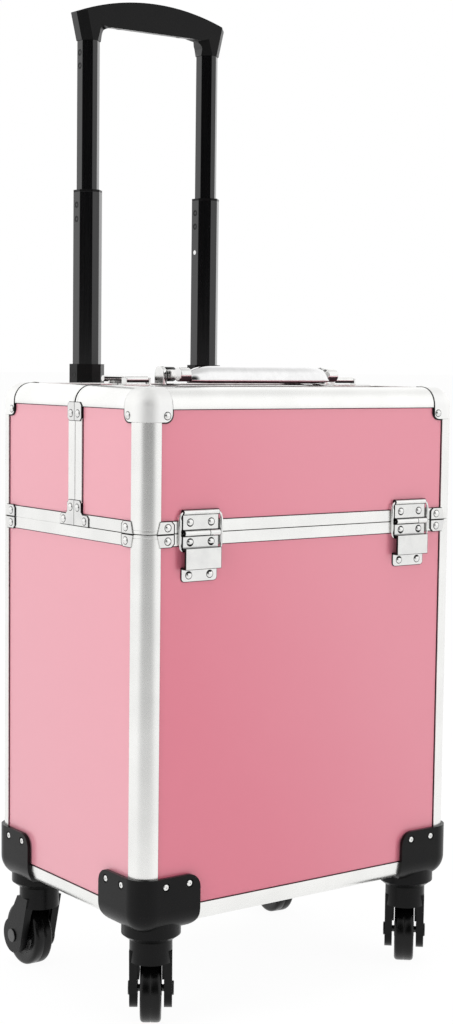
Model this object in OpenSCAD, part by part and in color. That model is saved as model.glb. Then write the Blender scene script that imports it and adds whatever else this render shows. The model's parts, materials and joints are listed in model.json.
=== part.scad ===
// Rolling makeup case: pink panels in an aluminium frame, a front lid that swings forward on
// two stay hinges, a fixed rear section, a telescopic pull handle and four swivel casters.
// X runs left to right, -Y is the front, Z is up and the floor is at zero.

/* [Case] */
// Width of the case, left to right
case_w = 340; // [310:5:400]
// Depth of the case, front to back
case_d = 235; // [215:5:280]
// Height of the lower body, from its underside to the parting line
lower_h = 327.3; // [300:0.1:380]
// Height of the upper section, from the parting line to the top
upper_h = 118.7; // [110:0.1:150]
// Depth of the opening front lid
lid_d = 104; // [98:1:115]
// Thickness of the panels
panel_t = 5; // [4:0.5:6]
// Gap at the parting line under the front lid
seam_gap = 0.6; // [0.4:0.1:1]
// Gap between the front lid and the fixed rear section
split_gap = 0.6; // [0.4:0.1:1]

/* [Frame] */
// Width of a frame rail on each face
rail_w = 17.8; // [17:0.2:20]
// Outer radius of the rails and of the case corners
rail_r = 16; // [14:0.5:16.5]
// Depth of the solid core of a rail, where the panel edges stop
rail_core = 12; // [11:0.5:13]
// How far the panels sit below the outer faces of the frame
panel_recess = 1.5; // [1.2:0.1:2]
// Height of the flat strips along the parting line
strip_h = 9.7; // [9:0.1:12]
// Width of the flat strips beside the split
strip_w = 10.4; // [9.6:0.1:12]
// Thickness of the lips that close the panel edges
lip_t = 3; // [2:0.2:4]
// Wall of the strips inside the case
strip_wall = 1.2; // [1:0.1:2]
// How far a corner cap reaches past the rails
cap_ear = 10.5; // [9:0.5:13]
// Radius of the free corner of an ear
ear_r = 7; // [5:0.5:8]
// Thickness of the riveted joint plates
plate_t = 1; // [0.8:0.1:1.2]
// Reach of a joint plate past the rail or strip that it joins
plate_reach = 12; // [11:0.5:14]
// Radius of a rivet head
rivet_r = 2.9; // [2.2:0.1:3.2]
// Height of a rivet head
rivet_h = 1.4; // [0.8:0.1:1.6]

/* [Stay hinges] */
// Distance of each hinge from the side of the case
hinge_in = 56; // [52:1:70]
// Width of a hinge leaf
hinge_w = 35; // [30:1:38]
// Thickness of a hinge leaf
leaf_t = 1.2; // [1:0.1:1.5]
// Radius of the hinge barrel
barrel_r = 2.5; // [2.3:0.1:2.6]
// Radius of the hinge pin
pin_r = 1.2; // [1:0.1:1.4]
// Height of the stay eye above the hinge pin
stay_up = 17; // [16.5:0.1:17.5]
// Length of the stay loop, eye to lower bar
stay_len = 31.5; // [31:0.1:32]
// Radius of the stay wire in the eye
stay_r = 1; // [0.9:0.05:1.1]
// Height of the slide bridge above the face of the frame
bridge_rise = 6.2; // [6:0.1:6.6]
// Thickness of the bridge
bridge_t = 0.9; // [0.8:0.1:1]

/* [Top fittings] */
// Distance of each latch from the side of the case
latch_in = 55.5; // [50:0.5:60]
// Width of a latch
latch_w = 26; // [22:1:28]
// Thickness of the latch sheet metal
latch_t = 1.2; // [1:0.1:1.4]
// Height of the latch pivot above the top
latch_up = 5; // [4.8:0.1:5.6]
// Length of the latch lever, pivot to rolled end
latch_len = 36; // [34:1:38]
// Distance of the carry handle's brackets in from the sides of the case
handle_in = 79; // [72:1:90]
// Distance of the handle pivots in front of the split
handle_back = 8; // [8:0.5:16]
// Distance from the handle pivots to the middle of the grip
handle_arm = 22; // [21:1:40]
// Height of the handle pivots above the top
handle_up = 9.5; // [9:0.1:11]
// Thickness of the carry grip
grip_t = 15; // [12:0.5:16]
// Width of the carry grip
grip_w = 20; // [18:1:24]

/* [Pull handle] */
// Distance of each pull tube from the middle of the case
tube_x = 67.2; // [58:0.2:72]
// Width of the inner pull tube, left to right
inner_w = 19; // [17:0.5:20]
// Depth of the inner pull tube, front to back
inner_d = 23; // [21:0.5:24]
// Wall of every tube
tube_wall = 1.2; // [1:0.1:1.4]
// Step in size from one tube to the next, on each side
tube_step = 1.5; // [1.4:0.1:1.8]
// Room between one tube and the next, on each side
tube_play = 0.3; // [0.2:0.05:0.3]
// Chamfer across the corners of the inner tube
tube_chamfer = 7; // [5:0.5:8]
// Height of the collar that shows above the top of the case
collar_show = 17; // [12:1:22]
// Length of middle tube that shows when drawn out
middle_show = 161; // [158:1:190]
// Length of inner tube that shows when drawn out
inner_show = 136; // [133:1:160]
// Length of tube that stays inside the next tube
tube_overlap = 80; // [70:1:90]
// Travel of the middle tube
middle_travel = 155; // [140:1:156]
// Travel of the inner tube
inner_travel = 130; // [120:1:131]
// Height of the grip end sockets below the grip
socket_h = 13; // [10:1:16]
// Height of the grip at its ends, from the foot of the sockets
grip_end_h = 25; // [24:1:30]
// Rise of the arch of the grip above its ends
grip_rise = 15; // [12:1:18]
// Flare of the grip ends outwards
grip_flare = 6; // [2:0.5:7]
// Length of the release button
button_l = 32; // [28:1:44]
// Width of the release button
button_w = 10; // [9:1:14]
// Travel of the release button
button_travel = 4; // [3:0.5:5]

/* [Casters] */
// Height of the case above the floor
caster_h = 90.5; // [88:0.5:105]
// Distance of a swivel axis from the side face
caster_in_x = 28.5; // [27.5:0.5:32]
// Distance of a swivel axis from the front or back face
caster_in_y = 25.5; // [25:0.5:30]
// Trail of a wheel behind its swivel axis
caster_trail = 18; // [15:1:23]
// Diameter of a wheel
wheel_d = 57; // [50:1:60]
// Width of a wheel
wheel_w = 18; // [15:0.5:19]
// Width of a caster fork
fork_w = 36; // [35:0.5:38]
// Thickness of a fork leg
leg_t = 6.8; // [6:0.1:7]
// Gap between the wheel and the fork head above it
head_gap = 2; // [1.5:0.1:3]
// Radius of the fork stem
stem_r = 5; // [4:0.5:6]
// Radius of a wheel axle
axle_r = 3; // [2.5:0.1:3.5]
// Reach of a corner bracket along each face
wing_l = 58.5; // [57:0.5:66]
// Height of a corner bracket above the case bottom
wing_h = 44.8; // [40:0.1:50]
// Wall of a corner bracket
wing_t = 3; // [2.5:0.1:3.5]
// Radius of the round turret under a corner bracket
turret_r = 25; // [23:0.5:26]
// Height of the turret
turret_h = 9.3; // [8:0.1:10]

/* [Hidden] */
$fn = 48;
// Running clearance of pins in bores
run_fit = 0.05;
// Clearance between parts that pass each other
pass = 0.4;
// Overshoot of cutting shapes
cut = 1;
half_w = case_w / 2;
half_d = case_d / 2;
z_bottom = caster_h;
z_seam = z_bottom + lower_h;
z_lid = z_seam + seam_gap;
z_top = z_seam + upper_h;
cap_size = rail_w + cap_ear;
// Split plane, and the faces of the lid and of the rear section at it
y_split = lid_d - half_d;
y_lid_end = y_split - split_gap / 2;
y_rear_end = y_split + split_gap / 2;
panel_in = panel_recess + panel_t;
lip_in = panel_in + strip_wall;
// Pull tube sections
middle_w = inner_w + 2 * (tube_step + tube_wall);
middle_d = inner_d + 2 * (tube_step + tube_wall);
outer_w = middle_w + 2 * (tube_play + tube_wall);
outer_d = middle_d + 2 * (tube_play + tube_wall);
collar_w = outer_w + 2 * tube_wall;
collar_d = outer_d + 2 * tube_wall;
// Chamfer of a tube that stands off the inner tube by a given distance on each side
function chamfer_at(off) = tube_chamfer + off * (2 - sqrt(2));
tube_y = half_d + collar_d / 2;
z_collar = z_top + collar_show;
z_middle = z_collar + middle_show;
z_grip = z_middle + inner_show;
bush_top = 2;
bush_h = 16;
// Reach of the collars down the back of the case
collar_drop = 30;
collar_lip = 8;
z_middle_foot = z_collar - tube_overlap;
z_inner_foot = z_middle - tube_overlap;
foot_floor = 10;
foot_h = 26;
z_tube_foot = z_middle_foot - middle_travel - foot_floor;
// Box of the whole part, so that its middle lies over the origin
front_reach = half_d + bridge_rise;
back_reach = half_d + collar_d;
case_y = (front_reach - back_reach) / 2;
// Hinge axis: distance out from the front face, and height
hinge_out = barrel_r + pass;
hinge_z = z_seam + seam_gap / 2;
hinge_x = half_w - hinge_in;
knuckle_gap = 0.5;
// Length of the lid's knuckle, and the rest of the barrel on the body leaf
lid_knuckle = 10;
body_knuckle = hinge_w - lid_knuckle - knuckle_gap;
// Distance of the leaf rivets from the edge of a leaf
leaf_rivet_in = 7;
// Stay loop
stay_out = 1.3;
stay_bar = 1.6;
stay_side = 2.4;
stay_low = 1.2;
stay_low_h = 1.8;
eye_wall = 1;
stay_gap = 0.7;
stay_inner = hinge_w / 2 + stay_gap;
bridge_top = stay_up - stay_len + stay_low_h / 2 + pass;
bridge_h = 16;
flange_h = 10.5;
flange_r = 3;
leaf_top = bridge_top + bridge_t;
// Latch
latch_x = half_w - latch_in;
latch_pin_r = 1.5;
latch_eye_r = 2.8;
latch_roll_r = 2.6;
latch_base_l = 12;
latch_cheek = 1.6;
catch_t = 2;
catch_gap = latch_roll_r;
// Margin of the latch plates round what they carry
latch_lap = 1;
latch_y = y_lid_end - latch_base_l + latch_eye_r + latch_lap;
catch_y = latch_y + latch_len - latch_roll_r - catch_gap - catch_t;
// How far the catch stands up behind the rolled end
catch_hook = 1.4;
catch_side = 4.3;
catch_h = latch_up - latch_roll_r + catch_hook;
keeper_l = latch_y + latch_len - y_rear_end - latch_lap;
// Carry handle
handle_y = y_split - handle_back;
handle_pin_r = 2.5;
bracket_l = 14;
bracket_w = 18;
bracket_t = 1.5;
bracket_wall = 4;
end_w = 11;
end_r = 6;
arm_t = 8;
// Narrow neck at each end of the grip
neck_l = 7;
neck_r = 5;
handle_half = half_w - handle_in;
grip_half = handle_half - bracket_wall - pass - end_w;
grip_z = z_top + handle_up;
// Pull handle grip
z_grip_end = z_grip + grip_end_h;
z_peak = z_grip_end + grip_rise;
grip_shell = 0.8;
// Rounding of the inner corners under the grip
grip_round = 8;
socket_w = inner_w + 2 * grip_shell;
socket_d = inner_d + 2 * grip_shell;
grip_chamfer = chamfer_at(grip_shell);
grip_foot_half = tube_x + socket_w / 2;
grip_top_half = grip_foot_half + grip_flare;
arch_r = (grip_top_half * grip_top_half + grip_rise * grip_rise) / (2 * grip_rise);
rod_r = 2;
button_sink = 0.6;
yoke_h = 3;
yoke_w = 5;
grip_floor = 3;
z_yoke_room = z_grip + socket_h + grip_floor;
z_yoke = z_yoke_room + button_travel + pass;
z_button = z_yoke + yoke_h;
z_button_room = z_button - button_travel - pass;
// Casters
wheel_r = wheel_d / 2;
wheel_edge = 3;
z_turret = z_bottom - wing_t - turret_h;
z_head = z_turret - pass;
leg_r = 16;
leg_lip = 1;
head_h = z_head - wheel_d - head_gap;
// Cheeks that close the fork's legs over the wheel
cheek_h = 18;
cheek_gap = 0.5;
cheek_t = (fork_w - wheel_w) / 2 - leg_t - cheek_gap;
stem_h = turret_h;
wing_round = 12;
axle_head = 1.5;
screw_r = 2.6;
screw_h = 1.2;
screw_seat_r = 3.6;
screw_seat = 1;
// Places of the bracket screws along a wing and below its upper edge
screw_near = 24;
screw_far = 11;
screw_drop = 7.4;
// Distances of the swivel axes from the middle of the case
caster_x = half_w - caster_in_x;
caster_y = half_d - caster_in_y;
// Signs of the corners and the turn of each caster at rest
caster_signs = [[-1, -1], [1, -1], [-1, 1], [1, 1]];
caster_turn = [-35, -42, 0, -8];

aluminium = [0.86, 0.86, 0.85];
chrome = [0.78, 0.78, 0.8];
pink = [0.89, 0.58, 0.64];
black = [0.08, 0.08, 0.09];

// Places a shape given in the frame of the case, whose middle lies behind or before the origin
module at_case() {
    translate([0, case_y, 0]) children();
}

module both_sides() {
    for (m = [0, 1])
        mirror([m, 0, 0]) children();
}

// Corner frame: origin at a vertical corner of the case, +x and +y run inwards
module at_corner(sx, sy) {
    at_case()
        translate([sx * half_w, sy * half_d, 0])
            mirror([sx > 0 ? 1 : 0, 0, 0])
                mirror([0, sy > 0 ? 1 : 0, 0]) children();
}

// Swaps x and y, to turn a shape on the front face into the same shape on the side face
module on_both_faces() {
    children();
    mirror([1, -1, 0]) children();
}

module round_rect(w, d, r) {
    square([w - 2 * r, d], center = true);
    square([w, d - 2 * r], center = true);
    for (x = [-1, 1], y = [-1, 1])
        translate([x * (w / 2 - r), y * (d / 2 - r)]) circle(r = r);
}

// Section of a frame rail: a rounded core with a leg over each panel
module rail_section() {
    difference() {
        square(rail_w);
        difference() {
            square(rail_r);
            translate([rail_r, rail_r]) circle(r = rail_r);
        }
        translate([rail_core, panel_recess]) square(rail_w);
        translate([panel_recess, rail_core]) square(rail_w);
    }
}

// Rail along +x with its legs towards +y and +z
module rail(length) {
    rotate([90, 0, 90]) linear_extrude(length) rail_section();
}

module post(sx, sy, z0, z1) {
    at_corner(sx, sy)
        translate([0, 0, z0]) linear_extrude(z1 - z0) rail_section();
}

// Front, back or side panel of a section, as a box between two corners
module slab(low, high) {
    at_case()
        translate(low) cube(high - low);
}

// Domed rivet head on the plane z = 0
module rivet() {
    dome_r = (rivet_r * rivet_r + rivet_h * rivet_h) / (2 * rivet_h);
    intersection() {
        translate([0, 0, rivet_h - dome_r]) sphere(r = dome_r);
        cylinder(r = rivet_r + cut, h = rivet_h);
    }
}

// Rivet on a front face in the corner frame, standing out towards -y from a plate of thickness t
module front_rivet(x, z, t) {
    translate([x, -t, z]) rotate([90, 0, 0]) rivet();
}

// Joint plates

// Plate over the end of a strip at a corner, on the front face of the corner frame, rising from z = 0
module seam_plate() {
    reach_in = plate_reach / 3;
    low = seam_gap;
    high = strip_h + seam_gap;
    slant = high / 4;
    rotate([90, 0, 0]) linear_extrude(plate_t)
        polygon([
            [rail_w - reach_in, low],
            [rail_w + plate_reach, low],
            [rail_w + plate_reach, high - slant],
            [rail_w + plate_reach - slant, high],
            [rail_w - reach_in + slant, high]
        ]);
}

module seam_plate_rivet() {
    front_rivet(rail_w + plate_reach / 2, strip_h / 2 + seam_gap, plate_t);
}

// Foot plate in the angle of a split strip and a parting strip, running towards -y from y = 0
module split_foot() {
    foot_l = strip_w + plate_reach;
    foot_h = strip_h + plate_reach;
    nick = strip_h / 4;
    rotate([90, 0, 90]) linear_extrude(plate_t)
        polygon([
            [0, seam_gap],
            [-foot_l, seam_gap],
            [-foot_l, strip_h - nick],
            [-foot_l + nick, strip_h],
            [-strip_w - nick, strip_h],
            [-strip_w, strip_h + nick],
            [-strip_w, foot_h - nick],
            [-strip_w + nick, foot_h],
            [0, foot_h]
        ]);
}

// Head plate over the top of a split strip, running towards -y from y = 0 and down from z = 0
module split_head() {
    lap = rail_w - rail_r + lip_t / 2;
    head_h = lap + plate_reach;
    nick = strip_h / 4;
    rotate([90, 0, 90]) linear_extrude(plate_t)
        polygon([
            [0, lap],
            [nick - strip_w, lap],
            [-strip_w, lap - nick],
            [-strip_w, nick + lap - head_h],
            [nick - strip_w, lap - head_h],
            [0, lap - head_h]
        ]);
}

// Children of a half section, at the left end of the split: side -1 for the lid, 1 for the rear
module at_split(side) {
    at_case()
        both_sides()
            translate([-half_w - plate_t, side < 0 ? y_lid_end : y_rear_end, 0])
                mirror([0, side > 0 ? 1 : 0, 0]) children();
}

module split_plates(side) {
    at_split(side) {
        translate([0, 0, z_seam]) split_foot();
        translate([0, 0, z_top - rail_w]) split_head();
    }
}

module split_rivets(side) {
    spots = [
        [-strip_w / 2, z_seam + strip_h + plate_reach / 2],
        [-strip_w - plate_reach / 2, z_seam + strip_h / 2],
        [-strip_w / 2, z_top - rail_w - plate_reach / 2]
    ];
    at_split(side)
        for (p = spots)
            translate([0, p[0], p[1]]) rotate([0, -90, 0]) rivet();
}

// Corner caps

// Block with its rounded corner at the origin, running inwards along +x, +y and +z
module corner_block(r, reach, high) {
    translate([r, r, r]) sphere(r = r);
    translate([r, r, r]) cylinder(r = r, h = high - r);
    translate([r, r, r]) rotate([-90, 0, 0]) cylinder(r = r, h = reach - r);
    translate([r, r, r]) rotate([0, 90, 0]) cylinder(r = r, h = reach - r);
    translate([0, r, r]) cube([reach, reach - r, high - r]);
    translate([r, 0, r]) cube([reach - r, reach, high - r]);
    translate([r, r, 0]) cube([reach - r, reach - r, high]);
}

// Rounds off the free corner of the ear on the face y = 0
module ear_round() {
    start = cap_size - ear_r;
    difference() {
        translate([start, -cut, start]) cube([ear_r + cut, panel_in + cut, ear_r + cut]);
        translate([start, -2 * cut, start]) rotate([-90, 0, 0]) cylinder(r = ear_r, h = panel_in + 4 * cut);
    }
}

// Cap with its corner at the origin: a shell over the ends of three rails, with an ear on each panel
module corner_cap() {
    difference() {
        intersection() {
            cube(cap_size);
            corner_block(rail_r, cap_size, cap_size);
        }
        translate([rail_core, panel_recess, rail_core]) cube(cap_size);
        translate([panel_recess, rail_core, rail_core]) cube(cap_size);
        translate([rail_core, rail_core, panel_recess]) cube(cap_size);
        ear_round();
        mirror([1, -1, 0]) ear_round();
        mirror([0, 1, -1]) ear_round();
    }
}

module top_caps(sy) {
    for (sx = [-1, 1])
        at_corner(sx, sy)
            translate([0, 0, z_top]) mirror([0, 0, 1]) corner_cap();
}

module cap_rivets(sy) {
    spot = rail_w + cap_ear / 2;
    for (sx = [-1, 1])
        at_corner(sx, sy)
            translate([0, 0, z_top]) {
                on_both_faces() front_rivet(spot, -spot, 0);
                translate([spot, spot, 0]) rivet();
            }
}

module seam_plates(sy, up) {
    for (sx = [-1, 1])
        at_corner(sx, sy)
            translate([0, 0, z_seam])
                mirror([0, 0, up ? 0 : 1])
                    on_both_faces() seam_plate();
}

module seam_rivets(sy, up) {
    for (sx = [-1, 1])
        at_corner(sx, sy)
            translate([0, 0, z_seam])
                mirror([0, 0, up ? 0 : 1])
                    on_both_faces() seam_plate_rivet();
}

// Lower body

module lower_front_panel() {
    color(pink)
        slab([rail_core - half_w, panel_recess - half_d, z_bottom + rail_core],
             [half_w - rail_core, panel_in - half_d, z_seam - lip_t]);
}

module lower_back_panel() {
    color(pink)
        slab([rail_core - half_w, half_d - panel_in, z_bottom + rail_core],
             [half_w - rail_core, half_d - panel_recess, z_seam - lip_t]);
}

module lower_side_panels() {
    color(pink)
        both_sides()
            slab([panel_recess - half_w, rail_core - half_d, z_bottom + rail_core],
                 [panel_in - half_w, half_d - rail_core, z_seam - lip_t]);
}

module floor_panel() {
    color(black)
        slab([rail_core - half_w, rail_core - half_d, z_bottom + panel_recess],
             [half_w - rail_core, half_d - rail_core, z_bottom + panel_in]);
}

module lower_posts() {
    color(aluminium)
        for (sx = [-1, 1], sy = [-1, 1])
            post(sx, sy, z_bottom + rail_w, z_seam - lip_t);
}

module bottom_rails() {
    long = case_w - 2 * rail_w;
    short = case_d - 2 * rail_w;
    color(aluminium)
        at_case()
            translate([0, 0, z_bottom]) {
                for (m = [0, 1]) {
                    mirror([0, m, 0]) translate([-long / 2, -half_d, 0]) rail(long);
                    mirror([m, 0, 0])
                        translate([-half_w, -short / 2, 0]) mirror([1, -1, 0]) rail(short);
                }
            }
}

// Flat strip of a rim on the front face: outer leg and inner leg, rising from z = 0
module strip_legs(length, height) {
    translate([-length / 2, 0, 0]) cube([length, panel_recess, height]);
    translate([-length / 2, panel_in, 0]) cube([length, strip_wall, height]);
}

// Closed lip ring round the whole case, rising from z = 0
module lip_ring() {
    linear_extrude(lip_t)
        difference() {
            round_rect(case_w, case_d, rail_r);
            square([case_w - 2 * lip_in, case_d - 2 * lip_in], center = true);
        }
}

module seam_legs() {
    leg_h = strip_h - lip_t;
    for (m = [0, 1]) {
        mirror([0, m, 0])
            translate([0, -half_d, lip_t]) strip_legs(case_w - 2 * rail_w, leg_h);
        mirror([m, 0, 0])
            translate([-half_w, 0, lip_t])
                mirror([1, -1, 0]) strip_legs(case_d - 2 * rail_w, leg_h);
    }
}

module seam_rim() {
    lip_ring();
    seam_legs();
}

module lower_rim() {
    color(aluminium)
        at_case()
            translate([0, 0, z_seam]) mirror([0, 0, 1]) seam_rim();
}

// Upper section

// Lip round the split opening of the upper section: rounded at the top, open at the parting line
module split_lip(bottom) {
    height = z_top - bottom;
    rotate([90, 0, 0]) linear_extrude(lip_t)
        translate([0, bottom])
            difference() {
                intersection() {
                    round_rect(case_w, 2 * height, rail_r);
                    translate([-half_w, 0]) square([case_w, height]);
                }
                translate([lip_in - half_w, -cut])
                    square([case_w - 2 * lip_in, height - lip_in + cut]);
            }
}

// Outer and inner legs of the split strips on the two sides and the top, running towards -y
module split_legs(bottom) {
    leg_w = strip_w - lip_t;
    side_h = z_top - rail_w - bottom - strip_h;
    both_sides()
        for (x = [0, panel_in])
            translate([x - half_w, -leg_w, bottom + strip_h])
                cube([x > 0 ? strip_wall : panel_recess, leg_w, side_h]);
    for (z = [0, panel_in])
        translate([rail_w - half_w, -leg_w, z_top - z - (z > 0 ? strip_wall : panel_recess)])
            cube([case_w - 2 * rail_w, leg_w, z > 0 ? strip_wall : panel_recess]);
}

// Rim of a half section that lies in front of y = 0, with its split face at y = 0
module split_rim(bottom) {
    split_lip(bottom);
    translate([0, -lip_t, 0]) split_legs(bottom);
}

// Half space used to keep one half of a rim
module keep_front(y, bottom) {
    translate([-case_w, y - 2 * case_d, bottom - cut]) cube([2 * case_w, 2 * case_d, upper_h]);
}

module keep_rear(y, bottom) {
    translate([-case_w, y, bottom - cut]) cube([2 * case_w, 2 * case_d, upper_h]);
}

module lid_rim() {
    color(aluminium)
        at_case() {
            intersection() {
                translate([0, 0, z_lid]) seam_rim();
                keep_front(y_lid_end, z_lid);
            }
            translate([0, y_lid_end, 0]) split_rim(z_lid);
        }
}

module rear_rim() {
    color(aluminium)
        at_case() {
            intersection() {
                translate([0, 0, z_seam]) seam_rim();
                keep_rear(y_rear_end, z_seam);
            }
            translate([0, y_rear_end, 0]) mirror([0, 1, 0]) split_rim(z_seam);
        }
}

module lid_front_panel() {
    color(pink)
        slab([rail_core - half_w, panel_recess - half_d, z_lid + lip_t],
             [half_w - rail_core, panel_in - half_d, z_top - rail_core]);
}

module rear_back_panel() {
    color(pink)
        slab([rail_core - half_w, half_d - panel_in, z_seam + lip_t],
             [half_w - rail_core, half_d - panel_recess, z_top - rail_core]);
}

module lid_top_panel() {
    color(pink)
        slab([rail_core - half_w, rail_core - half_d, z_top - panel_in],
             [half_w - rail_core, y_lid_end - lip_t, z_top - panel_recess]);
}

module rear_top_panel() {
    color(pink)
        slab([rail_core - half_w, y_rear_end + lip_t, z_top - panel_in],
             [half_w - rail_core, half_d - rail_core, z_top - panel_recess]);
}

module lid_side_panels() {
    color(pink)
        both_sides()
            slab([panel_recess - half_w, rail_core - half_d, z_lid + lip_t],
                 [panel_in - half_w, y_lid_end - lip_t, z_top - rail_core]);
}

module rear_side_panels() {
    color(pink)
        both_sides()
            slab([panel_recess - half_w, y_rear_end + lip_t, z_seam + lip_t],
                 [panel_in - half_w, half_d - rail_core, z_top - rail_core]);
}

module lid_posts() {
    color(aluminium)
        for (sx = [-1, 1])
            post(sx, -1, z_lid + lip_t, z_top - cap_size);
}

module rear_posts() {
    color(aluminium)
        for (sx = [-1, 1])
            post(sx, 1, z_seam + lip_t, z_top - cap_size);
}

// One long rail and two short ones along the top of a half section; side_l is the short ones' length
module top_rails(side_l) {
    long = case_w - 2 * cap_size;
    translate([-long / 2, 0, 0]) mirror([0, 0, 1]) rail(long);
    both_sides()
        translate([-half_w, cap_size, 0]) mirror([0, 0, 1]) mirror([1, -1, 0]) rail(side_l);
}

module lid_top_rails() {
    color(aluminium)
        at_case()
            translate([0, -half_d, z_top]) top_rails(y_lid_end - lip_t + half_d - cap_size);
}

module rear_top_rails() {
    color(aluminium)
        at_case()
            translate([0, half_d, z_top])
                mirror([0, 1, 0]) top_rails(half_d - cap_size - y_rear_end - lip_t);
}

module lid_corner_caps() {
    color(aluminium) top_caps(-1);
}

module rear_corner_caps() {
    color(aluminium) top_caps(1);
}

module body_joint_plates() {
    color(aluminium) {
        seam_plates(-1, false);
        seam_plates(1, false);
        seam_plates(1, true);
        split_plates(1);
    }
}

module lid_joint_plates() {
    color(aluminium) {
        seam_plates(-1, true);
        split_plates(-1);
    }
}

// Stay hinges: children are drawn at the two hinges, y = 0 on the front face and z = 0 on the pin axis
module at_hinges() {
    at_case()
        for (sx = [-1, 1])
            translate([sx * hinge_x, -half_d, hinge_z]) children();
}

// Rod along x with its middle at x, in the hinge frame
module cross_rod(x, y, z, r, length) {
    translate([x - length / 2, y, z]) rotate([0, 90, 0]) cylinder(r = r, h = length);
}

// Box in the hinge frame, given by its middle in x, its width, and its reach out of the face and up
module leaf_box(x, w, out_low, out_high, z_low, z_high) {
    translate([x - w / 2, -out_high, z_low]) cube([w, out_high - out_low, z_high - z_low]);
}

module hinge_knuckle(x, length) {
    cross_rod(x, -hinge_out, 0, barrel_r, length);
}

module hinge_bore() {
    cross_rod(0, -hinge_out, 0, pin_r + run_fit, 2 * hinge_w);
}

// The leaf on the body runs down into a bridge over the stay's lower bar and a flange on the panel
module body_leaf() {
    x_body = (body_knuckle - hinge_w) / 2;
    x_lid = (hinge_w - lid_knuckle) / 2;
    clear = barrel_r + pass;
    bridge_low = bridge_top - bridge_h;
    flange_low = bridge_low - flange_h;
    flange_out = leaf_t - panel_recess;
    difference() {
        union() {
            hinge_knuckle(x_body, body_knuckle);
            leaf_box(x_body, body_knuckle, 0, leaf_t, -clear - cut, -seam_gap);
            leaf_box(0, hinge_w, 0, leaf_t, leaf_top - bridge_t, -clear);
            leaf_box(0, hinge_w, 0, bridge_rise, bridge_top, leaf_top);
            leaf_box(0, hinge_w, bridge_rise - bridge_t, bridge_rise, bridge_low, leaf_top);
            leaf_box(0, hinge_w, -panel_recess, bridge_rise, bridge_low, bridge_low + bridge_t);
            leaf_box(0, hinge_w, -panel_recess, flange_out, flange_low + flange_r, bridge_low + bridge_t);
            leaf_box(0, hinge_w - 2 * flange_r, -panel_recess, flange_out, flange_low, bridge_low);
            for (x = [flange_r - hinge_w / 2, hinge_w / 2 - flange_r])
                translate([x, panel_recess, flange_low + flange_r])
                    rotate([90, 0, 0]) cylinder(r = flange_r, h = leaf_t);
        }
        hinge_bore();
        leaf_box(x_lid, lid_knuckle + knuckle_gap, -cut, bridge_rise, -clear, clear);
    }
}

module hinge_body_leaves() {
    color(chrome) at_hinges() body_leaf();
}

// The leaf on the lid has a rolled eye along its upper edge for the stay
module lid_leaf() {
    x_body = (body_knuckle - hinge_w) / 2;
    x_lid = (hinge_w - lid_knuckle) / 2;
    clear = barrel_r + pass;
    difference() {
        union() {
            hinge_knuckle(x_lid, lid_knuckle);
            leaf_box(x_lid, lid_knuckle, 0, leaf_t, seam_gap, clear + cut);
            leaf_box(0, hinge_w, 0, leaf_t, clear, stay_up);
            cross_rod(0, -stay_out, stay_up, stay_r + eye_wall, hinge_w);
        }
        hinge_bore();
        cross_rod(0, -stay_out, stay_up, stay_r + run_fit, 2 * hinge_w);
        leaf_box(x_body - knuckle_gap, body_knuckle + 2 * knuckle_gap, -cut, bridge_rise, -clear, clear);
    }
}

module hinge_lid_leaves() {
    color(chrome) at_hinges() lid_leaf();
}

module hinge_pins() {
    color(chrome)
        at_hinges() cross_rod(0, -hinge_out, 0, pin_r, hinge_w + knuckle_gap);
}

// Wire loop: round in the eye, flat at the sides and at the lower bar
module stay_loop() {
    outer = stay_inner + stay_side;
    low = stay_up - stay_len;
    cross_rod(0, -stay_out, stay_up, stay_r, 2 * outer);
    for (x = [-1, 1])
        leaf_box(x * (stay_inner + stay_side / 2), stay_side, stay_out - stay_bar / 2,
                 stay_out + stay_bar / 2, low - stay_low_h / 2, stay_up);
    leaf_box(0, 2 * outer, stay_out - stay_low / 2, stay_out + stay_low / 2,
             low - stay_low_h / 2, low + stay_low_h / 2);
}

module stay_loops() {
    color(chrome) at_hinges() stay_loop();
}

module hinge_rivets(z, t) {
    at_hinges()
        for (x = [-1, 1])
            front_rivet(x * (hinge_w / 2 - leaf_rivet_in), z, t);
}

module body_rivets() {
    bridge_low = bridge_top - bridge_h;
    color(chrome) {
        cap_rivets(1);
        seam_rivets(-1, false);
        seam_rivets(1, false);
        seam_rivets(1, true);
        split_rivets(1);
        hinge_rivets((leaf_top - barrel_r) / 2, leaf_t);
        hinge_rivets(bridge_low - flange_h / 2, leaf_t - panel_recess);
    }
}

module lid_rivets() {
    color(chrome) {
        cap_rivets(-1);
        seam_rivets(-1, true);
        split_rivets(-1);
        hinge_rivets((stay_up - stay_r - eye_wall + barrel_r) / 2, leaf_t);
    }
}

// Top latches: children are drawn with y in the case frame and z = 0 on the top
module at_latch(sx) {
    at_case()
        translate([sx * latch_x, 0, z_top]) children();
}

module latch_base() {
    half = latch_w / 2;
    translate([-half, latch_y - latch_eye_r - latch_lap, 0]) cube([latch_w, latch_base_l, latch_t]);
    for (x = [-half, half - latch_cheek])
        translate([x, latch_y - latch_eye_r, 0])
            cube([latch_cheek, 2 * latch_eye_r, latch_up + latch_eye_r / 2]);
    cross_rod(0, latch_y, latch_up, latch_pin_r, latch_w);
}

module latch_bases() {
    color(chrome)
        for (sx = [-1, 1])
            at_latch(sx) latch_base();
}

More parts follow.
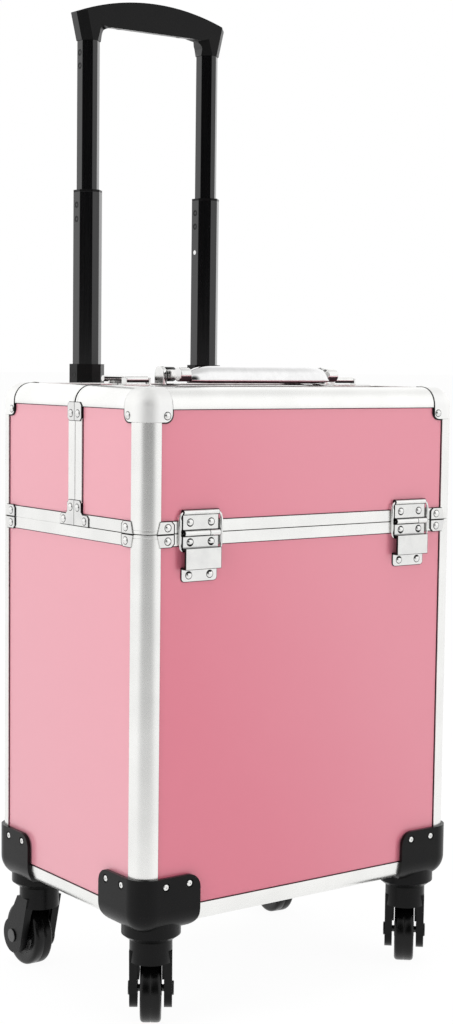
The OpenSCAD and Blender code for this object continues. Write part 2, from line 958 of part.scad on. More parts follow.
// Lever: an eye round the pivot, a cover plate and a rolled end that drops behind the catch
module latch_lever() {
    inside = latch_w - 2 * latch_cheek - 2 * pass;
    plate_z = latch_up + latch_eye_r - latch_t;
    difference() {
        union() {
            cross_rod(0, latch_y, latch_up, latch_eye_r, inside);
            translate([-inside / 2, latch_y, plate_z]) cube([inside, latch_len, latch_t]);
            cross_rod(0, latch_y + latch_len, latch_up + latch_eye_r - latch_roll_r, latch_roll_r, inside);
        }
        cross_rod(0, latch_y, latch_up, latch_pin_r + run_fit, latch_w);
    }
}

module latch_lever_left() {
    color(chrome) at_latch(-1) latch_lever();
}

module latch_lever_right() {
    color(chrome) at_latch(1) latch_lever();
}

module latch_keepers() {
    color(chrome)
        for (sx = [-1, 1])
            at_latch(sx) {
                translate([-latch_w / 2, y_rear_end + latch_lap, 0]) cube([latch_w, keeper_l, latch_t]);
                translate([catch_side - latch_w / 2, catch_y, 0])
                    cube([latch_w - 2 * catch_side, catch_t, catch_h]);
            }
}

// Carry handle
module handle_brackets() {
    pin_l = handle_half - grip_half - bracket_wall;
    color(chrome)
        at_case()
            both_sides() {
                translate([handle_half - bracket_w, handle_y - bracket_l / 2, z_top])
                    cube([bracket_w, bracket_l, bracket_t]);
                translate([handle_half - bracket_wall, handle_y - bracket_l / 2, z_top])
                    cube([bracket_wall, bracket_l, handle_up]);
                translate([handle_half - bracket_wall, handle_y, grip_z])
                    rotate([0, 90, 0]) cylinder(r = bracket_l / 2, h = bracket_wall);
                translate([handle_half - pin_l, handle_y, grip_z])
                    rotate([0, 90, 0]) cylinder(r = handle_pin_r, h = pin_l);
            }
}

// End pieces: an eye round the pivot and a flat arm to the grip
module handle_ends() {
    color(chrome)
        at_case()
            both_sides()
                difference() {
                    union() {
                        translate([grip_half, handle_y, grip_z])
                            rotate([0, 90, 0]) cylinder(r = end_r, h = end_w);
                        translate([grip_half, handle_y - handle_arm, grip_z - arm_t / 2])
                            cube([end_w, handle_arm, arm_t]);
                        translate([grip_half, handle_y - handle_arm, grip_z])
                            rotate([0, 90, 0]) cylinder(r = end_r, h = end_w);
                    }
                    translate([grip_half - cut, handle_y, grip_z])
                        rotate([0, 90, 0]) cylinder(r = handle_pin_r + run_fit, h = end_w + 2 * cut);
                }
}

// Grip of flattened oval section along x, with a narrow neck at each end
module carry_grip() {
    body_half = grip_half - neck_l;
    color(chrome)
        at_case()
            translate([0, handle_y - handle_arm, grip_z]) {
                translate([-body_half, 0, 0])
                    rotate([90, 0, 90]) linear_extrude(2 * body_half) {
                        square([grip_w - grip_t, grip_t], center = true);
                        for (s = [-1, 1])
                            translate([s * (grip_w - grip_t) / 2, 0]) circle(d = grip_t);
                    }
                cross_rod(0, 0, 0, neck_r, 2 * grip_half);
            }
}

// Pull handle

// Rectangle with its four corners cut off
module cut_rect(w, d, chamfer) {
    x = w / 2;
    y = d / 2;
    polygon([
        [chamfer - x, -y], [x - chamfer, -y], [x, chamfer - y], [x, y - chamfer],
        [x - chamfer, y], [chamfer - x, y], [-x, y - chamfer], [-x, chamfer - y]
    ]);
}

// Section of the pull tubes, standing off the outside of the inner tube by a distance
module tube_section(off) {
    cut_rect(inner_w + 2 * off, inner_d + 2 * off, chamfer_at(off));
}

module at_tubes() {
    at_case()
        for (sx = [-1, 1])
            translate([sx * tube_x, tube_y, 0]) children();
}

// Tube between two heights, from one standoff to another
module ring_tube(off_in, off_out, z0, z1) {
    translate([0, 0, z0]) linear_extrude(z1 - z0)
        difference() {
            tube_section(off_out);
            tube_section(off_in);
        }
}

off_middle_in = tube_step;
off_middle = tube_step + tube_wall;
off_outer_in = off_middle + tube_play;
off_outer = off_outer_in + tube_wall;
off_collar = off_outer + tube_wall;

module outer_tubes() {
    color(black)
        at_tubes() ring_tube(off_outer_in, off_outer, z_tube_foot, z_collar - collar_lip);
}

module tube_collars() {
    color(black)
        at_tubes() {
            ring_tube(off_outer, off_collar, z_top - collar_drop, z_collar - collar_lip);
            ring_tube(off_outer_in, off_collar, z_collar - collar_lip, z_collar);
            back_pad(z_top - collar_drop, z_top - rail_w);
        }
}

// Pad that fills the recess of the back panel behind a tube
module back_pad(z0, z1) {
    translate([-outer_w / 2, -collar_d / 2 - panel_recess, z0]) cube([outer_w, panel_recess, z1 - z0]);
}

// Feet close the outer tubes and stand them off the back of the case
module tube_feet() {
    color(black)
        at_tubes() {
            ring_tube(off_outer, off_collar, z_tube_foot, z_tube_foot + foot_h);
            translate([0, 0, z_tube_foot - tube_wall]) linear_extrude(tube_wall) tube_section(off_collar);
            back_pad(z_tube_foot, z_tube_foot + foot_h);
        }
}

module middle_tubes() {
    color(black)
        at_tubes() ring_tube(off_middle_in, off_middle, z_middle_foot, z_middle - bush_top);
}

module middle_bushes() {
    color(black)
        at_tubes() {
            ring_tube(tube_play, off_middle, z_middle - bush_top, z_middle);
            ring_tube(tube_play, off_middle_in, z_middle - bush_h, z_middle - bush_top);
        }
}

module inner_tubes() {
    color(black)
        at_tubes() ring_tube(-tube_wall, 0, z_inner_foot, z_grip + socket_h);
}

// Outline of the grip from the front: flared ends, an arched top, and a rounded opening between the sockets
module grip_outline() {
    inner_half = tube_x - socket_w / 2;
    round_x = inner_half - grip_round;
    difference() {
        intersection() {
            translate([0, z_peak - arch_r]) circle(r = arch_r, $fn = 180);
            polygon([
                [-grip_foot_half, z_grip], [grip_foot_half, z_grip],
                [grip_top_half, z_grip_end], [grip_top_half, z_peak],
                [-grip_top_half, z_peak], [-grip_top_half, z_grip_end]
            ]);
        }
        translate([-inner_half, z_grip - cut]) square([2 * inner_half, socket_h + cut - grip_round]);
        translate([-round_x, z_grip - cut]) square([2 * round_x, socket_h + cut]);
        for (x = [-round_x, round_x])
            translate([x, z_grip + socket_h - grip_round]) circle(r = grip_round);
    }
}

module pull_grip() {
    bar_h = z_peak - z_grip;
    yoke_room_h = z_button + pass - z_yoke_room;
    color(black)
        at_case()
            translate([0, tube_y, 0])
                difference() {
                    intersection() {
                        translate([0, socket_d / 2, 0])
                            rotate([90, 0, 0]) linear_extrude(socket_d) grip_outline();
                        translate([0, 0, z_grip])
                            linear_extrude(bar_h) cut_rect(2 * grip_top_half, socket_d, grip_chamfer);
                    }
                    both_sides()
                        translate([tube_x, 0, z_grip - cut])
                            linear_extrude(socket_h + cut) tube_section(0);
                    both_sides()
                        translate([tube_x, 0, z_grip]) cylinder(r = rod_r + pass, h = z_yoke - z_grip);
                    translate([-tube_x - rod_r - pass, -yoke_w / 2 - pass, z_yoke_room])
                        cube([2 * (tube_x + rod_r + pass), yoke_w + 2 * pass, yoke_room_h]);
                    translate([-button_l / 2 - pass, -button_w / 2 - pass, z_button_room])
                        cube([button_l + 2 * pass, button_w + 2 * pass, z_peak]);
                }
}

module release_button() {
    color([0.2, 0.2, 0.21])
        at_case()
            translate([0, tube_y, 0])
                intersection() {
                    translate([-button_l / 2, -button_w / 2, z_button])
                        cube([button_l, button_w, z_peak]);
                    rotate([90, 0, 0])
                        translate([0, z_peak - arch_r - button_sink, -button_w])
                            cylinder(r = arch_r, h = 2 * button_w, $fn = 180);
                }
}

// Cross bar under the button with a rod down the middle of each inner tube
module push_rods() {
    rod_foot = z_inner_foot + button_travel + foot_floor;
    color(aluminium)
        at_case()
            translate([0, tube_y, 0]) {
                translate([-tube_x - rod_r, -yoke_w / 2, z_yoke])
                    cube([2 * (tube_x + rod_r), yoke_w, yoke_h]);
                both_sides()
                    translate([tube_x, 0, rod_foot]) cylinder(r = rod_r, h = z_yoke - rod_foot);
            }
}

// Casters: children are drawn with the swivel axis at the origin and the wheel trailing towards +y
module at_caster(i) {
    at_case()
        translate([caster_signs[i][0] * caster_x, caster_signs[i][1] * caster_y, 0])
            rotate([0, 0, caster_turn[i]]) children();
}

// Children at the two screws of a wing, with z running into the wing and starting at a height above it
module at_screws(above) {
    for (x = [screw_near, wing_l - screw_far])
        translate([x, -wing_t - above, wing_h + wing_t - screw_drop]) rotate([-90, 0, 0]) children();
}

// Outline of a wing along x and up, with its far corners rounded, as a block deep enough to trim a bracket
module wing_trim() {
    high = wing_h + wing_t;
    depth = wing_l + wing_t + cut;
    translate([0, wing_l + cut, 0]) rotate([90, 0, 0]) linear_extrude(depth + cut) {
        translate([-wing_t, 0]) square([wing_l + wing_t - wing_round, high]);
        translate([-wing_t, wing_round]) square([wing_l + wing_t, high - 2 * wing_round]);
        for (z = [wing_round, high - wing_round])
            translate([wing_l - wing_round, z]) circle(r = wing_round);
    }
}

// Bracket: a shell round the rounded corner of the case, with the turret under it
module caster_bracket() {
    chamfer_h = turret_h / 2;
    difference() {
        union() {
            intersection() {
                translate([-wing_t, -wing_t, 0])
                    corner_block(rail_r + wing_t, wing_l + wing_t, wing_h + wing_t);
                wing_trim();
                mirror([1, -1, 0]) wing_trim();
            }
            translate([caster_in_x, caster_in_y, chamfer_h - turret_h])
                cylinder(r = turret_r, h = turret_h - chamfer_h + rail_r);
            translate([caster_in_x, caster_in_y, -turret_h])
                cylinder(r1 = fork_w / 2 + leg_lip, r2 = turret_r, h = chamfer_h);
        }
        translate([0, 0, wing_t]) corner_block(rail_r - pass / 2, 2 * wing_l, 2 * wing_h);
        translate([caster_in_x, caster_in_y, -turret_h - cut])
            cylinder(r = stem_r + run_fit, h = turret_h + cut + pass);
        on_both_faces() at_screws(cut) cylinder(r = screw_seat_r, h = screw_seat + cut);
    }
}

module caster_brackets() {
    color(black)
        for (s = caster_signs)
            at_corner(s[0], s[1])
                translate([0, 0, z_bottom - wing_t]) caster_bracket();
}

module bracket_screws() {
    color(chrome)
        for (s = caster_signs)
            at_corner(s[0], s[1])
                translate([0, 0, z_bottom - wing_t])
                    on_both_faces()
                        at_screws(screw_h - screw_seat) cylinder(r = screw_r, h = screw_h);
}

// Side outline of a fork leg from the head to the axle, y to the right and z up
module leg_outline() {
    head_half = fork_w / 4;
    translate([caster_trail, wheel_r]) circle(r = leg_r);
    polygon([
        [caster_trail - leg_r, wheel_r], [caster_trail + leg_r, wheel_r],
        [head_half, z_head - head_h / 2], [-head_half, z_head - head_h / 2]
    ]);
}

// Side outline of a cheek inside a fork leg
module cheek_outline() {
    head_half = fork_w / 4;
    low = z_head - head_h - cheek_h;
    polygon([
        [caster_trail - leg_r, low], [caster_trail + head_half, low],
        [head_half, z_head - head_h / 2], [-head_half, z_head - head_h / 2]
    ]);
}

// Fork: round head with a stem, and two legs that lean back to the axle
module caster_fork() {
    head_r = fork_w / 2;
    head_low = z_head - head_h;
    difference() {
        union() {
            translate([0, 0, head_low]) cylinder(r = head_r, h = head_h);
            translate([0, 0, head_low]) cylinder(r = stem_r, h = head_h + stem_h);
            for (x = [-head_r, head_r - leg_t])
                translate([x, 0, 0])
                    rotate([90, 0, 90]) linear_extrude(leg_t) leg_outline();
            for (x = [leg_t - head_r, head_r - leg_t - cheek_t])
                translate([x, 0, 0])
                    rotate([90, 0, 90]) linear_extrude(cheek_t) cheek_outline();
        }
        translate([-head_r - cut, caster_trail, wheel_r])
            rotate([0, 90, 0]) cylinder(r = axle_r + run_fit, h = fork_w + 2 * cut);
    }
}

module caster_axle() {
    translate([-fork_w / 2, caster_trail, wheel_r]) rotate([0, 90, 0]) cylinder(r = axle_r, h = fork_w);
    for (x = [-fork_w / 2 - axle_head, fork_w / 2])
        translate([x, caster_trail, wheel_r]) rotate([0, 90, 0]) cylinder(r = 2 * axle_r, h = axle_head);
}

// Wheel with rounded tread edges and a bore for the axle
module caster_wheel() {
    half = wheel_w / 2;
    bore_r = axle_r + run_fit;
    edge_at = wheel_r - wheel_edge;
    translate([0, caster_trail, wheel_r])
        rotate([0, 90, 0]) rotate_extrude() {
            translate([bore_r, -half]) square([edge_at - bore_r, wheel_w]);
            translate([edge_at, wheel_edge - half]) square([wheel_edge, wheel_w - 2 * wheel_edge]);
            for (s = [-1, 1])
                translate([edge_at, s * (half - wheel_edge)]) circle(r = wheel_edge);
        }
}

module fork(i) {
    color(black) at_caster(i) caster_fork();
}

module axle(i) {
    color(chrome) at_caster(i) caster_axle();
}

module wheel(i) {
    color(black) at_caster(i) caster_wheel();
}

lower_front_panel();
lower_back_panel();
lower_side_panels();
floor_panel();
lower_posts();
bottom_rails();
lower_rim();
rear_top_panel();
rear_back_panel();
rear_side_panels();
rear_posts();
rear_top_rails();
rear_rim();
rear_corner_caps();
body_joint_plates();
body_rivets();
hinge_body_leaves();
hinge_pins();
latch_keepers();
outer_tubes();
tube_collars();
tube_feet();
caster_brackets();
bracket_screws();
lid_front_panel();
lid_top_panel();
lid_side_panels();
lid_posts();
lid_top_rails();
lid_rim();
lid_corner_caps();
lid_joint_plates();
lid_rivets();
hinge_lid_leaves();
latch_bases();
handle_brackets();
stay_loops();
latch_lever_left();
latch_lever_right();
carry_grip();
handle_ends();
middle_tubes();
middle_bushes();
inner_tubes();
pull_grip();
release_button();
push_rods();
fork(0);  // fork_front_left
fork(1);  // fork_front_right
fork(2);  // fork_rear_left
fork(3);  // fork_rear_right
axle(0);  // axle_front_left
axle(1);  // axle_front_right
axle(2);  // axle_rear_left
axle(3);  // axle_rear_right
wheel(0);  // wheel_front_left
wheel(1);  // wheel_front_right
wheel(2);  // wheel_rear_left
wheel(3);  // wheel_rear_right
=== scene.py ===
"""Looks of a rolling makeup case: pink film panels in a satin aluminium frame, bright plated fittings,
black pull tubes and black casters. Metres, +X right, -Y front, +Z up."""

import json
import math

import bpy
from mathutils import Matrix, Vector

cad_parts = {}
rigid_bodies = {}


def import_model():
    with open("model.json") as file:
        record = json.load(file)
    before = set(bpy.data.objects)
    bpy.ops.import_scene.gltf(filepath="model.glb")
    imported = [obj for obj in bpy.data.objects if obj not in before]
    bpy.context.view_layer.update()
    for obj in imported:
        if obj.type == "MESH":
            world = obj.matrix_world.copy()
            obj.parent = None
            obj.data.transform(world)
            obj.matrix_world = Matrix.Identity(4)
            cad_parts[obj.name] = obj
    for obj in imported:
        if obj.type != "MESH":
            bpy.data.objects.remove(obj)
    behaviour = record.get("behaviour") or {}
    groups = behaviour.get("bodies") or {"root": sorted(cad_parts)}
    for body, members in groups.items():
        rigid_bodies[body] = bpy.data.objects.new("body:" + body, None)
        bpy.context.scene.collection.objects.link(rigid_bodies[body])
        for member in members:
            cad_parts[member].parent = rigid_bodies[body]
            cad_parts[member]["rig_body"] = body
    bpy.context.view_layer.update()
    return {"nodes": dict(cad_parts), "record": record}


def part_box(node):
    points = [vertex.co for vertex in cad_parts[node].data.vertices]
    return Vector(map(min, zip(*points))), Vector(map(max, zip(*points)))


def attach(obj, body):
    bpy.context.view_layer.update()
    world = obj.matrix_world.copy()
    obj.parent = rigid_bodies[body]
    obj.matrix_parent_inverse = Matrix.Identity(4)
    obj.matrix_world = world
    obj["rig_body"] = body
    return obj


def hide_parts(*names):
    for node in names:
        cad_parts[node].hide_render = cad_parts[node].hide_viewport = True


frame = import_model()

MM = 0.001
SLOT_OF = {row["node"]: row["material_slot"] for row in frame["record"]["subparts"]}
BODY_OF = {node: piece["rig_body"] for node, piece in frame["nodes"].items()}
JOINT = {joint["name"]: joint for joint in frame["record"]["behaviour"]["joints"]}
CORNERS = ("front_left", "front_right", "rear_left", "rear_right")


# Camera

CAMERA_AT = Vector((-961.7, -1325.1, 558.7)) * MM
CAMERA_AZIMUTH = math.radians(-36.22)
CAMERA_ELEVATION = math.radians(4.82)
CAMERA_ROLL = math.radians(0.69)
CAMERA_LENS = 63.33


def make_camera():
    """Sets the camera and returns the direction from the object towards it."""
    flat = math.cos(CAMERA_ELEVATION)
    back = Vector((math.sin(CAMERA_AZIMUTH) * flat, -math.cos(CAMERA_AZIMUTH) * flat,
                   math.sin(CAMERA_ELEVATION)))
    level_right = Vector((0, 0, 1)).cross(back).normalized()
    level_up = back.cross(level_right)
    right = math.cos(CAMERA_ROLL) * level_right + math.sin(CAMERA_ROLL) * level_up
    up = back.cross(right)
    camera = bpy.data.objects.new("camera", bpy.data.cameras.new("camera"))
    camera.matrix_world = Matrix.Translation(CAMERA_AT) @ Matrix((right, up, back)).transposed().to_4x4()
    camera.data.lens = CAMERA_LENS
    bpy.context.scene.collection.objects.link(camera)
    bpy.context.scene.camera = camera
    return back


toward_camera = make_camera()


# Node helpers

# Stretch of a noise value that carries a pattern from its low end to its high end
TONE_SPAN = (0.35, 0.65)
GLOSS_SPAN = (0.3, 0.7)


def linear(code):
    """Linear colour of an sRGB hex code."""
    shares = [int(code[i:i + 2], 16) / 255 for i in (1, 3, 5)]
    return [s / 12.92 if s <= 0.04045 else ((s + 0.055) / 1.055) ** 2.4 for s in shares] + [1.0]


def add(tree, kind, inputs=None, **settings):
    """Adds a node with its settings, and sets or links its inputs."""
    node = tree.nodes.new(kind)
    for name, value in settings.items():
        setattr(node, name, value)
    for name, value in (inputs or {}).items():
        if isinstance(value, bpy.types.NodeSocket):
            tree.links.new(value, node.inputs[name])
        else:
            node.inputs[name].default_value = value
    return node


def new_material(name, color, roughness, metallic=0.0, ior=1.5, more=None):
    """A material with its plain values on the shader, and the object coordinates that its patterns read."""
    material = bpy.data.materials.new(name)
    material.use_nodes = True
    tree = material.node_tree
    shader = tree.nodes["Principled BSDF"]
    values = {"Base Color": linear(color), "Roughness": roughness, "Metallic": metallic, "IOR": ior}
    for socket, value in {**values, **(more or {})}.items():
        shader.inputs[socket].default_value = value
    place = add(tree, "ShaderNodeTexCoord").outputs["Object"]
    return material, tree, shader, place


def noise(tree, place, size_mm, detail, stretch=(1, 1, 1)):
    """Noise whose grain is size_mm across, drawn out along the axes by stretch."""
    scale = [1 / (size_mm * MM * share) for share in stretch]
    scaled = add(tree, "ShaderNodeMapping", {"Vector": place, "Scale": scale})
    return add(tree, "ShaderNodeTexNoise",
               {"Vector": scaled.outputs["Vector"], "Scale": 1.0, "Detail": detail})


def vary_color(tree, shader, grain, dark, light):
    """Drives the base colour between two close tones."""
    ramp = add(tree, "ShaderNodeValToRGB", {"Fac": grain.outputs["Fac"]})
    for element, spot, code in zip(ramp.color_ramp.elements, TONE_SPAN, (dark, light)):
        element.position = spot
        element.color = linear(code)
    tree.links.new(ramp.outputs["Color"], shader.inputs["Base Color"])


def vary_roughness(tree, shader, grain, low, high):
    """Drives the roughness between two values."""
    span = add(tree, "ShaderNodeMapRange",
               {"Value": grain.outputs["Fac"], "From Min": GLOSS_SPAN[0], "From Max": GLOSS_SPAN[1],
                "To Min": low, "To Max": high})
    tree.links.new(span.outputs["Result"], shader.inputs["Roughness"])


def emboss(tree, shader, grain, height_mm):
    """Lets a grain stand up by a height in the light."""
    bump = add(tree, "ShaderNodeBump",
               {"Height": grain.outputs["Fac"], "Distance": height_mm * MM, "Strength": 1.0})
    tree.links.new(bump.outputs["Normal"], shader.inputs["Normal"])


# Materials

# Rise of the painted sheen on the film per metre along the axes, lighter to the right and upwards, what its
# clouds add, and the stretch from deep to pale
FILM_SHEEN_DRIFT = (3.0, 0.0, 1.8)
FILM_CLOUD = 0.15
FILM_SPAN = (0.05, 1.05)
FILM_COAT = {"Coat Weight": 1.0, "Coat Roughness": 0.22, "Coat IOR": 1.6,
             "Sheen Weight": 0.6, "Sheen Roughness": 0.35}


def pink_film(name, deep, pale):
    # Pink polymer film hot-pressed on board under a clear satin coat: a pale haze at a slant, a painted
    # sheen that takes the base colour from deep at the lower left to pale at the upper right, and a fine
    # pressed grain, drawn at 1.1 mm to show.
    material, tree, shader, place = new_material(name, pale, 0.42, ior=1.46, more=FILM_COAT)
    # Painted sheen: the base colour grows paler to the right and upwards
    painted_sheen = add(tree, "ShaderNodeVectorMath", {0: place, 1: FILM_SHEEN_DRIFT}, operation="DOT_PRODUCT")
    cloud = noise(tree, place, size_mm=120, detail=2)
    cloud_and_sheen = add(tree, "ShaderNodeMath",
                 {0: cloud.outputs["Fac"], 1: FILM_CLOUD, 2: painted_sheen.outputs["Value"]},
                 operation="MULTIPLY_ADD")
    tone = add(tree, "ShaderNodeMapRange",
               {"Value": cloud_and_sheen.outputs[0], "From Min": FILM_SPAN[0], "From Max": FILM_SPAN[1]},
               interpolation_type="SMOOTHSTEP")
    mixed = add(tree, "ShaderNodeMix", {0: tone.outputs["Result"], 6: linear(deep), 7: linear(pale)},
                data_type="RGBA")
    tree.links.new(mixed.outputs[2], shader.inputs["Base Color"])
    fine = noise(tree, place, size_mm=1.1, detail=2)
    vary_roughness(tree, shader, fine, 0.38, 0.48)
    emboss(tree, shader, fine, height_mm=0.02)
    return material


def satin_aluminium():
    # Aluminium extrusion, etched and clear anodised: pale silver, broad soft reflections, faint etched
    # grain drawn at 0.9 mm to show.
    material, tree, shader, place = new_material("aluminium_etched_anodised", "#F0F0EE", 0.28, metallic=1.0)
    vary_color(tree, shader, noise(tree, place, size_mm=40, detail=3), "#ECECEA", "#F3F3F1")
    fine = noise(tree, place, size_mm=0.9, detail=2)
    vary_roughness(tree, shader, fine, 0.26, 0.31)
    emboss(tree, shader, fine, height_mm=0.001)
    return material


def cast_cap():
    # Die-cast corner cap, tumbled and plated satin: paler than the rails, with a broad even sheen and a
    # tumbled grain, drawn at 1.2 mm to show.
    material, tree, shader, place = new_material("zinc_die_cast_satin_plated", "#F8F8F7", 0.58, metallic=1.0)
    vary_color(tree, shader, noise(tree, place, size_mm=30, detail=2), "#F6F6F4", "#FAFAF9")
    fine = noise(tree, place, size_mm=1.2, detail=2)
    vary_roughness(tree, shader, fine, 0.54, 0.62)
    emboss(tree, shader, fine, height_mm=0.015)
    return material


def plated_steel():
    # Pressed steel with bright nickel plate: mirror-like, with slight waviness from the press and faint
    # wipe marks.
    material, tree, shader, place = new_material("steel_pressed_nickel_plated", "#E6E6E4", 0.16, metallic=1.0)
    vary_color(tree, shader, noise(tree, place, size_mm=14, detail=3), "#E1E1E0", "#EAEAE8")
    vary_roughness(tree, shader, noise(tree, place, size_mm=5, detail=4), 0.12, 0.2)
    emboss(tree, shader, noise(tree, place, size_mm=7, detail=1), height_mm=0.03)
    return material


def smooth_chrome():
    # Die-cast zinc, polished and chromed: a clean mirror with only a breath of haze that shifts along it.
    material, tree, shader, place = new_material("zinc_die_cast_chromed", "#E4E4E4", 0.1, metallic=1.0)
    haze = noise(tree, place, size_mm=9, detail=2)
    vary_color(tree, shader, haze, "#E0E0E0", "#E8E8E8")
    vary_roughness(tree, shader, haze, 0.08, 0.13)
    return material


def painted_underside_shade():
    # Painted shade for the underside of a bright fitting: dull dark grey, no mirror, with a fine sandy
    # skin, drawn at 0.8 mm to show.
    material, tree, shader, place = new_material("zinc_die_cast_painted_underside_shade", "#2C2C2E", 0.5,
                                                 more={"Specular IOR Level": 0.2})
    vary_color(tree, shader, noise(tree, place, size_mm=10, detail=2), "#29292B", "#303032")
    fine = noise(tree, place, size_mm=0.8, detail=2)
    vary_roughness(tree, shader, fine, 0.45, 0.55)
    emboss(tree, shader, fine, height_mm=0.01)
    return material


def black_tube():
    # Drawn aluminium tube, dyed black and anodised: near black, glossy oxide, fine die lines along its
    # length, drawn 0.8 mm apart to show.
    material, tree, shader, place = new_material("aluminium_drawn_black_anodised", "#060607", 0.13, ior=1.56)
    lines = noise(tree, place, size_mm=0.8, detail=2, stretch=(1, 1, 90))
    vary_color(tree, shader, lines, "#050506", "#080809")
    vary_roughness(tree, shader, lines, 0.11, 0.15)
    emboss(tree, shader, lines, height_mm=0.004)
    return material


def black_plastic():
    # Moulded nylon in a spark-eroded mould: deep black, satin, with a fine pebbled skin, drawn at 1 mm to
    # show.
    material, tree, shader, place = new_material("nylon_moulded_satin_black", "#060607", 0.3,
                                                 more={"Specular IOR Level": 0.17})
    vary_color(tree, shader, noise(tree, place, size_mm=25, detail=2), "#050506", "#080808")
    fine = noise(tree, place, size_mm=1.0, detail=2)
    vary_roughness(tree, shader, fine, 0.26, 0.36)
    emboss(tree, shader, fine, height_mm=0.008)
    return material


def wheel_polyurethane():
    # Cast polyurethane tyre: black, smooth from the mould, slightly dulled where it has rolled.
    material, tree, shader, place = new_material("polyurethane_cast_black", "#050505", 0.28,
                                                 more={"Specular IOR Level": 0.25})
    vary_color(tree, shader, noise(tree, place, size_mm=12, detail=3), "#040404", "#070707")
    vary_roughness(tree, shader, noise(tree, place, size_mm=3, detail=3), 0.22, 0.34)
    return material


def black_oxide():
    # Turned steel axle, blackened in a hot bath: dark, slightly oily, with fine turning marks, drawn at
    # 0.8 mm to show.
    material, tree, shader, place = new_material("steel_turned_black_oxide", "#0B0B0C", 0.3, ior=1.8)
    marks = noise(tree, place, size_mm=0.8, detail=2)
    vary_color(tree, shader, marks, "#09090A", "#0E0E0F")
    vary_roughness(tree, shader, marks, 0.25, 0.36)
    return material


def lining_foam():
    # Skived EVA foam lining: dull charcoal with small closed cells, drawn at 1.2 mm to show.
    material, tree, shader, place = new_material("eva_foam_skived_charcoal", "#1C1C1F", 0.85, ior=1.45)
    cells = noise(tree, place, size_mm=1.2, detail=2)
    vary_color(tree, shader, cells, "#18181B", "#232326")
    emboss(tree, shader, cells, height_mm=0.15)
    return material


MATERIAL_OF = {
    "pink_panel": pink_film("pink_abs_film_pressed", "#DF7388", "#E68A9B"),
    "satin_aluminium": satin_aluminium(),
    "plated_steel": plated_steel(),
    "black_tube": black_tube(),
    "black_plastic": black_plastic(),
    "wheel_rubber": wheel_polyurethane(),
    "dark_board": lining_foam(),
}
# Paler copy of the film for the side panels: a painted sheen, as the sides stand in more light
SIDE_SHEEN_MATERIAL = pink_film("pink_abs_film_pressed_painted_side_sheen", "#E194A2", "#E499A6")
CAP_MATERIAL = cast_cap()
AXLE_MATERIAL = black_oxide()
CHROME_MATERIAL = smooth_chrome()
UNDERSIDE_SHADE_MATERIAL = painted_underside_shade()


# Modelling helpers

# Angles in degrees: edges steeper than these stay sharp in the light
SHARP_ANGLE = 35
HEAD_ANGLE = 45
ROUND_ANGLE = 60
# Corners of a CAD mesh closer than this are one, and faces that turn less than this are one flat
MERGE_DISTANCE = 0.002 * MM
FLAT_ANGLE = math.radians(0.3)
# Least cosine between a face's normal and the direction that it looks along
FACING = 0.99
# How far a face of a fitting has to look down to get the painted underside shade: share of its normal
UNDERSIDE = 0.25


def take(piece):
    """Selects one piece alone and makes it active."""
    bpy.ops.object.select_all(action="DESELECT")
    piece.select_set(True)
    bpy.context.view_layer.objects.active = piece


def start(primitive, **settings):
    """Adds a primitive with nothing else selected."""
    bpy.ops.object.select_all(action="DESELECT")
    primitive(**settings)
    return bpy.context.active_object


def edit(piece):
    take(piece)
    bpy.ops.object.mode_set(mode="EDIT")


def edit_all(piece):
    """Opens a piece for editing with all of it selected."""
    edit(piece)
    bpy.ops.mesh.select_all(action="SELECT")


def done():
    bpy.ops.object.mode_set(mode="OBJECT")


def settle(piece):
    """Puts the piece's place into its mesh."""
    take(piece)
    bpy.ops.object.transform_apply(location=True, rotation=True, scale=True)


def apply_modifier(piece, kind, **settings):
    take(piece)
    bpy.ops.object.modifier_add(type=kind)
    modifier = piece.modifiers[-1]
    for name, value in settings.items():
        setattr(modifier, name, value)
    bpy.ops.object.modifier_apply(modifier=modifier.name)


def smooth(piece, angle):
    """Shades a piece smooth, apart from the edges that are steeper than an angle."""
    take(piece)
    bpy.ops.object.shade_smooth_by_angle(angle=math.radians(angle))


def soften(piece, width_mm, segments=2):
    """Breaks the sharp edges as a press or a mould does, and keeps the flat faces flat in the light."""
    apply_modifier(piece, "BEVEL", width=width_mm * MM, segments=segments, limit_method="ANGLE",
                   angle_limit=math.radians(SHARP_ANGLE), use_clamp_overlap=True)
    smooth(piece, SHARP_ANGLE)
    apply_modifier(piece, "WEIGHTED_NORMAL", keep_sharp=True)


def finish_piece(piece, slot, body, *nodes, material=None):
    """Gives a piece its material and body, and lets it stand for CAD nodes."""
    piece.data.materials.clear()
    piece.data.materials.append(material or MATERIAL_OF[slot])
    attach(piece, body)
    if nodes:
        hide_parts(*nodes)
    return piece


def copy_of(node, name):
    """A merged copy of a CAD node's mesh, as the start of the piece that replaces it."""
    take(frame["nodes"][node])
    bpy.ops.object.duplicate()
    piece = bpy.context.active_object
    piece.name = name
    for key in [key for key in piece.keys() if key.startswith("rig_")]:
        del piece[key]
    bpy.ops.object.parent_clear(type="CLEAR_KEEP_TRANSFORM")
    edit_all(piece)
    bpy.ops.mesh.remove_doubles(threshold=MERGE_DISTANCE)
    bpy.ops.mesh.dissolve_limited(angle_limit=FLAT_ANGLE)
    done()
    return piece


def dress(node, width_mm, segments=2, material=None):
    """A CAD node with its edges broken, in the finish of its slot."""
    piece = copy_of(node, node + "_dressed")
    soften(piece, width_mm, segments)
    return finish_piece(piece, SLOT_OF[node], BODY_OF[node], node, material=material)


def joined(parts, name):
    bpy.ops.object.select_all(action="DESELECT")
    for part in parts:
        part.select_set(True)
    bpy.context.view_layer.objects.active = parts[0]
    bpy.ops.object.join()
    parts[0].name = name
    return parts[0]


def placed_copy(pattern, matrix):
    """A copy of a pattern piece with its own mesh, set in place."""
    take(pattern)
    bpy.ops.object.duplicate()
    piece = bpy.context.active_object
    piece.data.transform(matrix)
    return piece


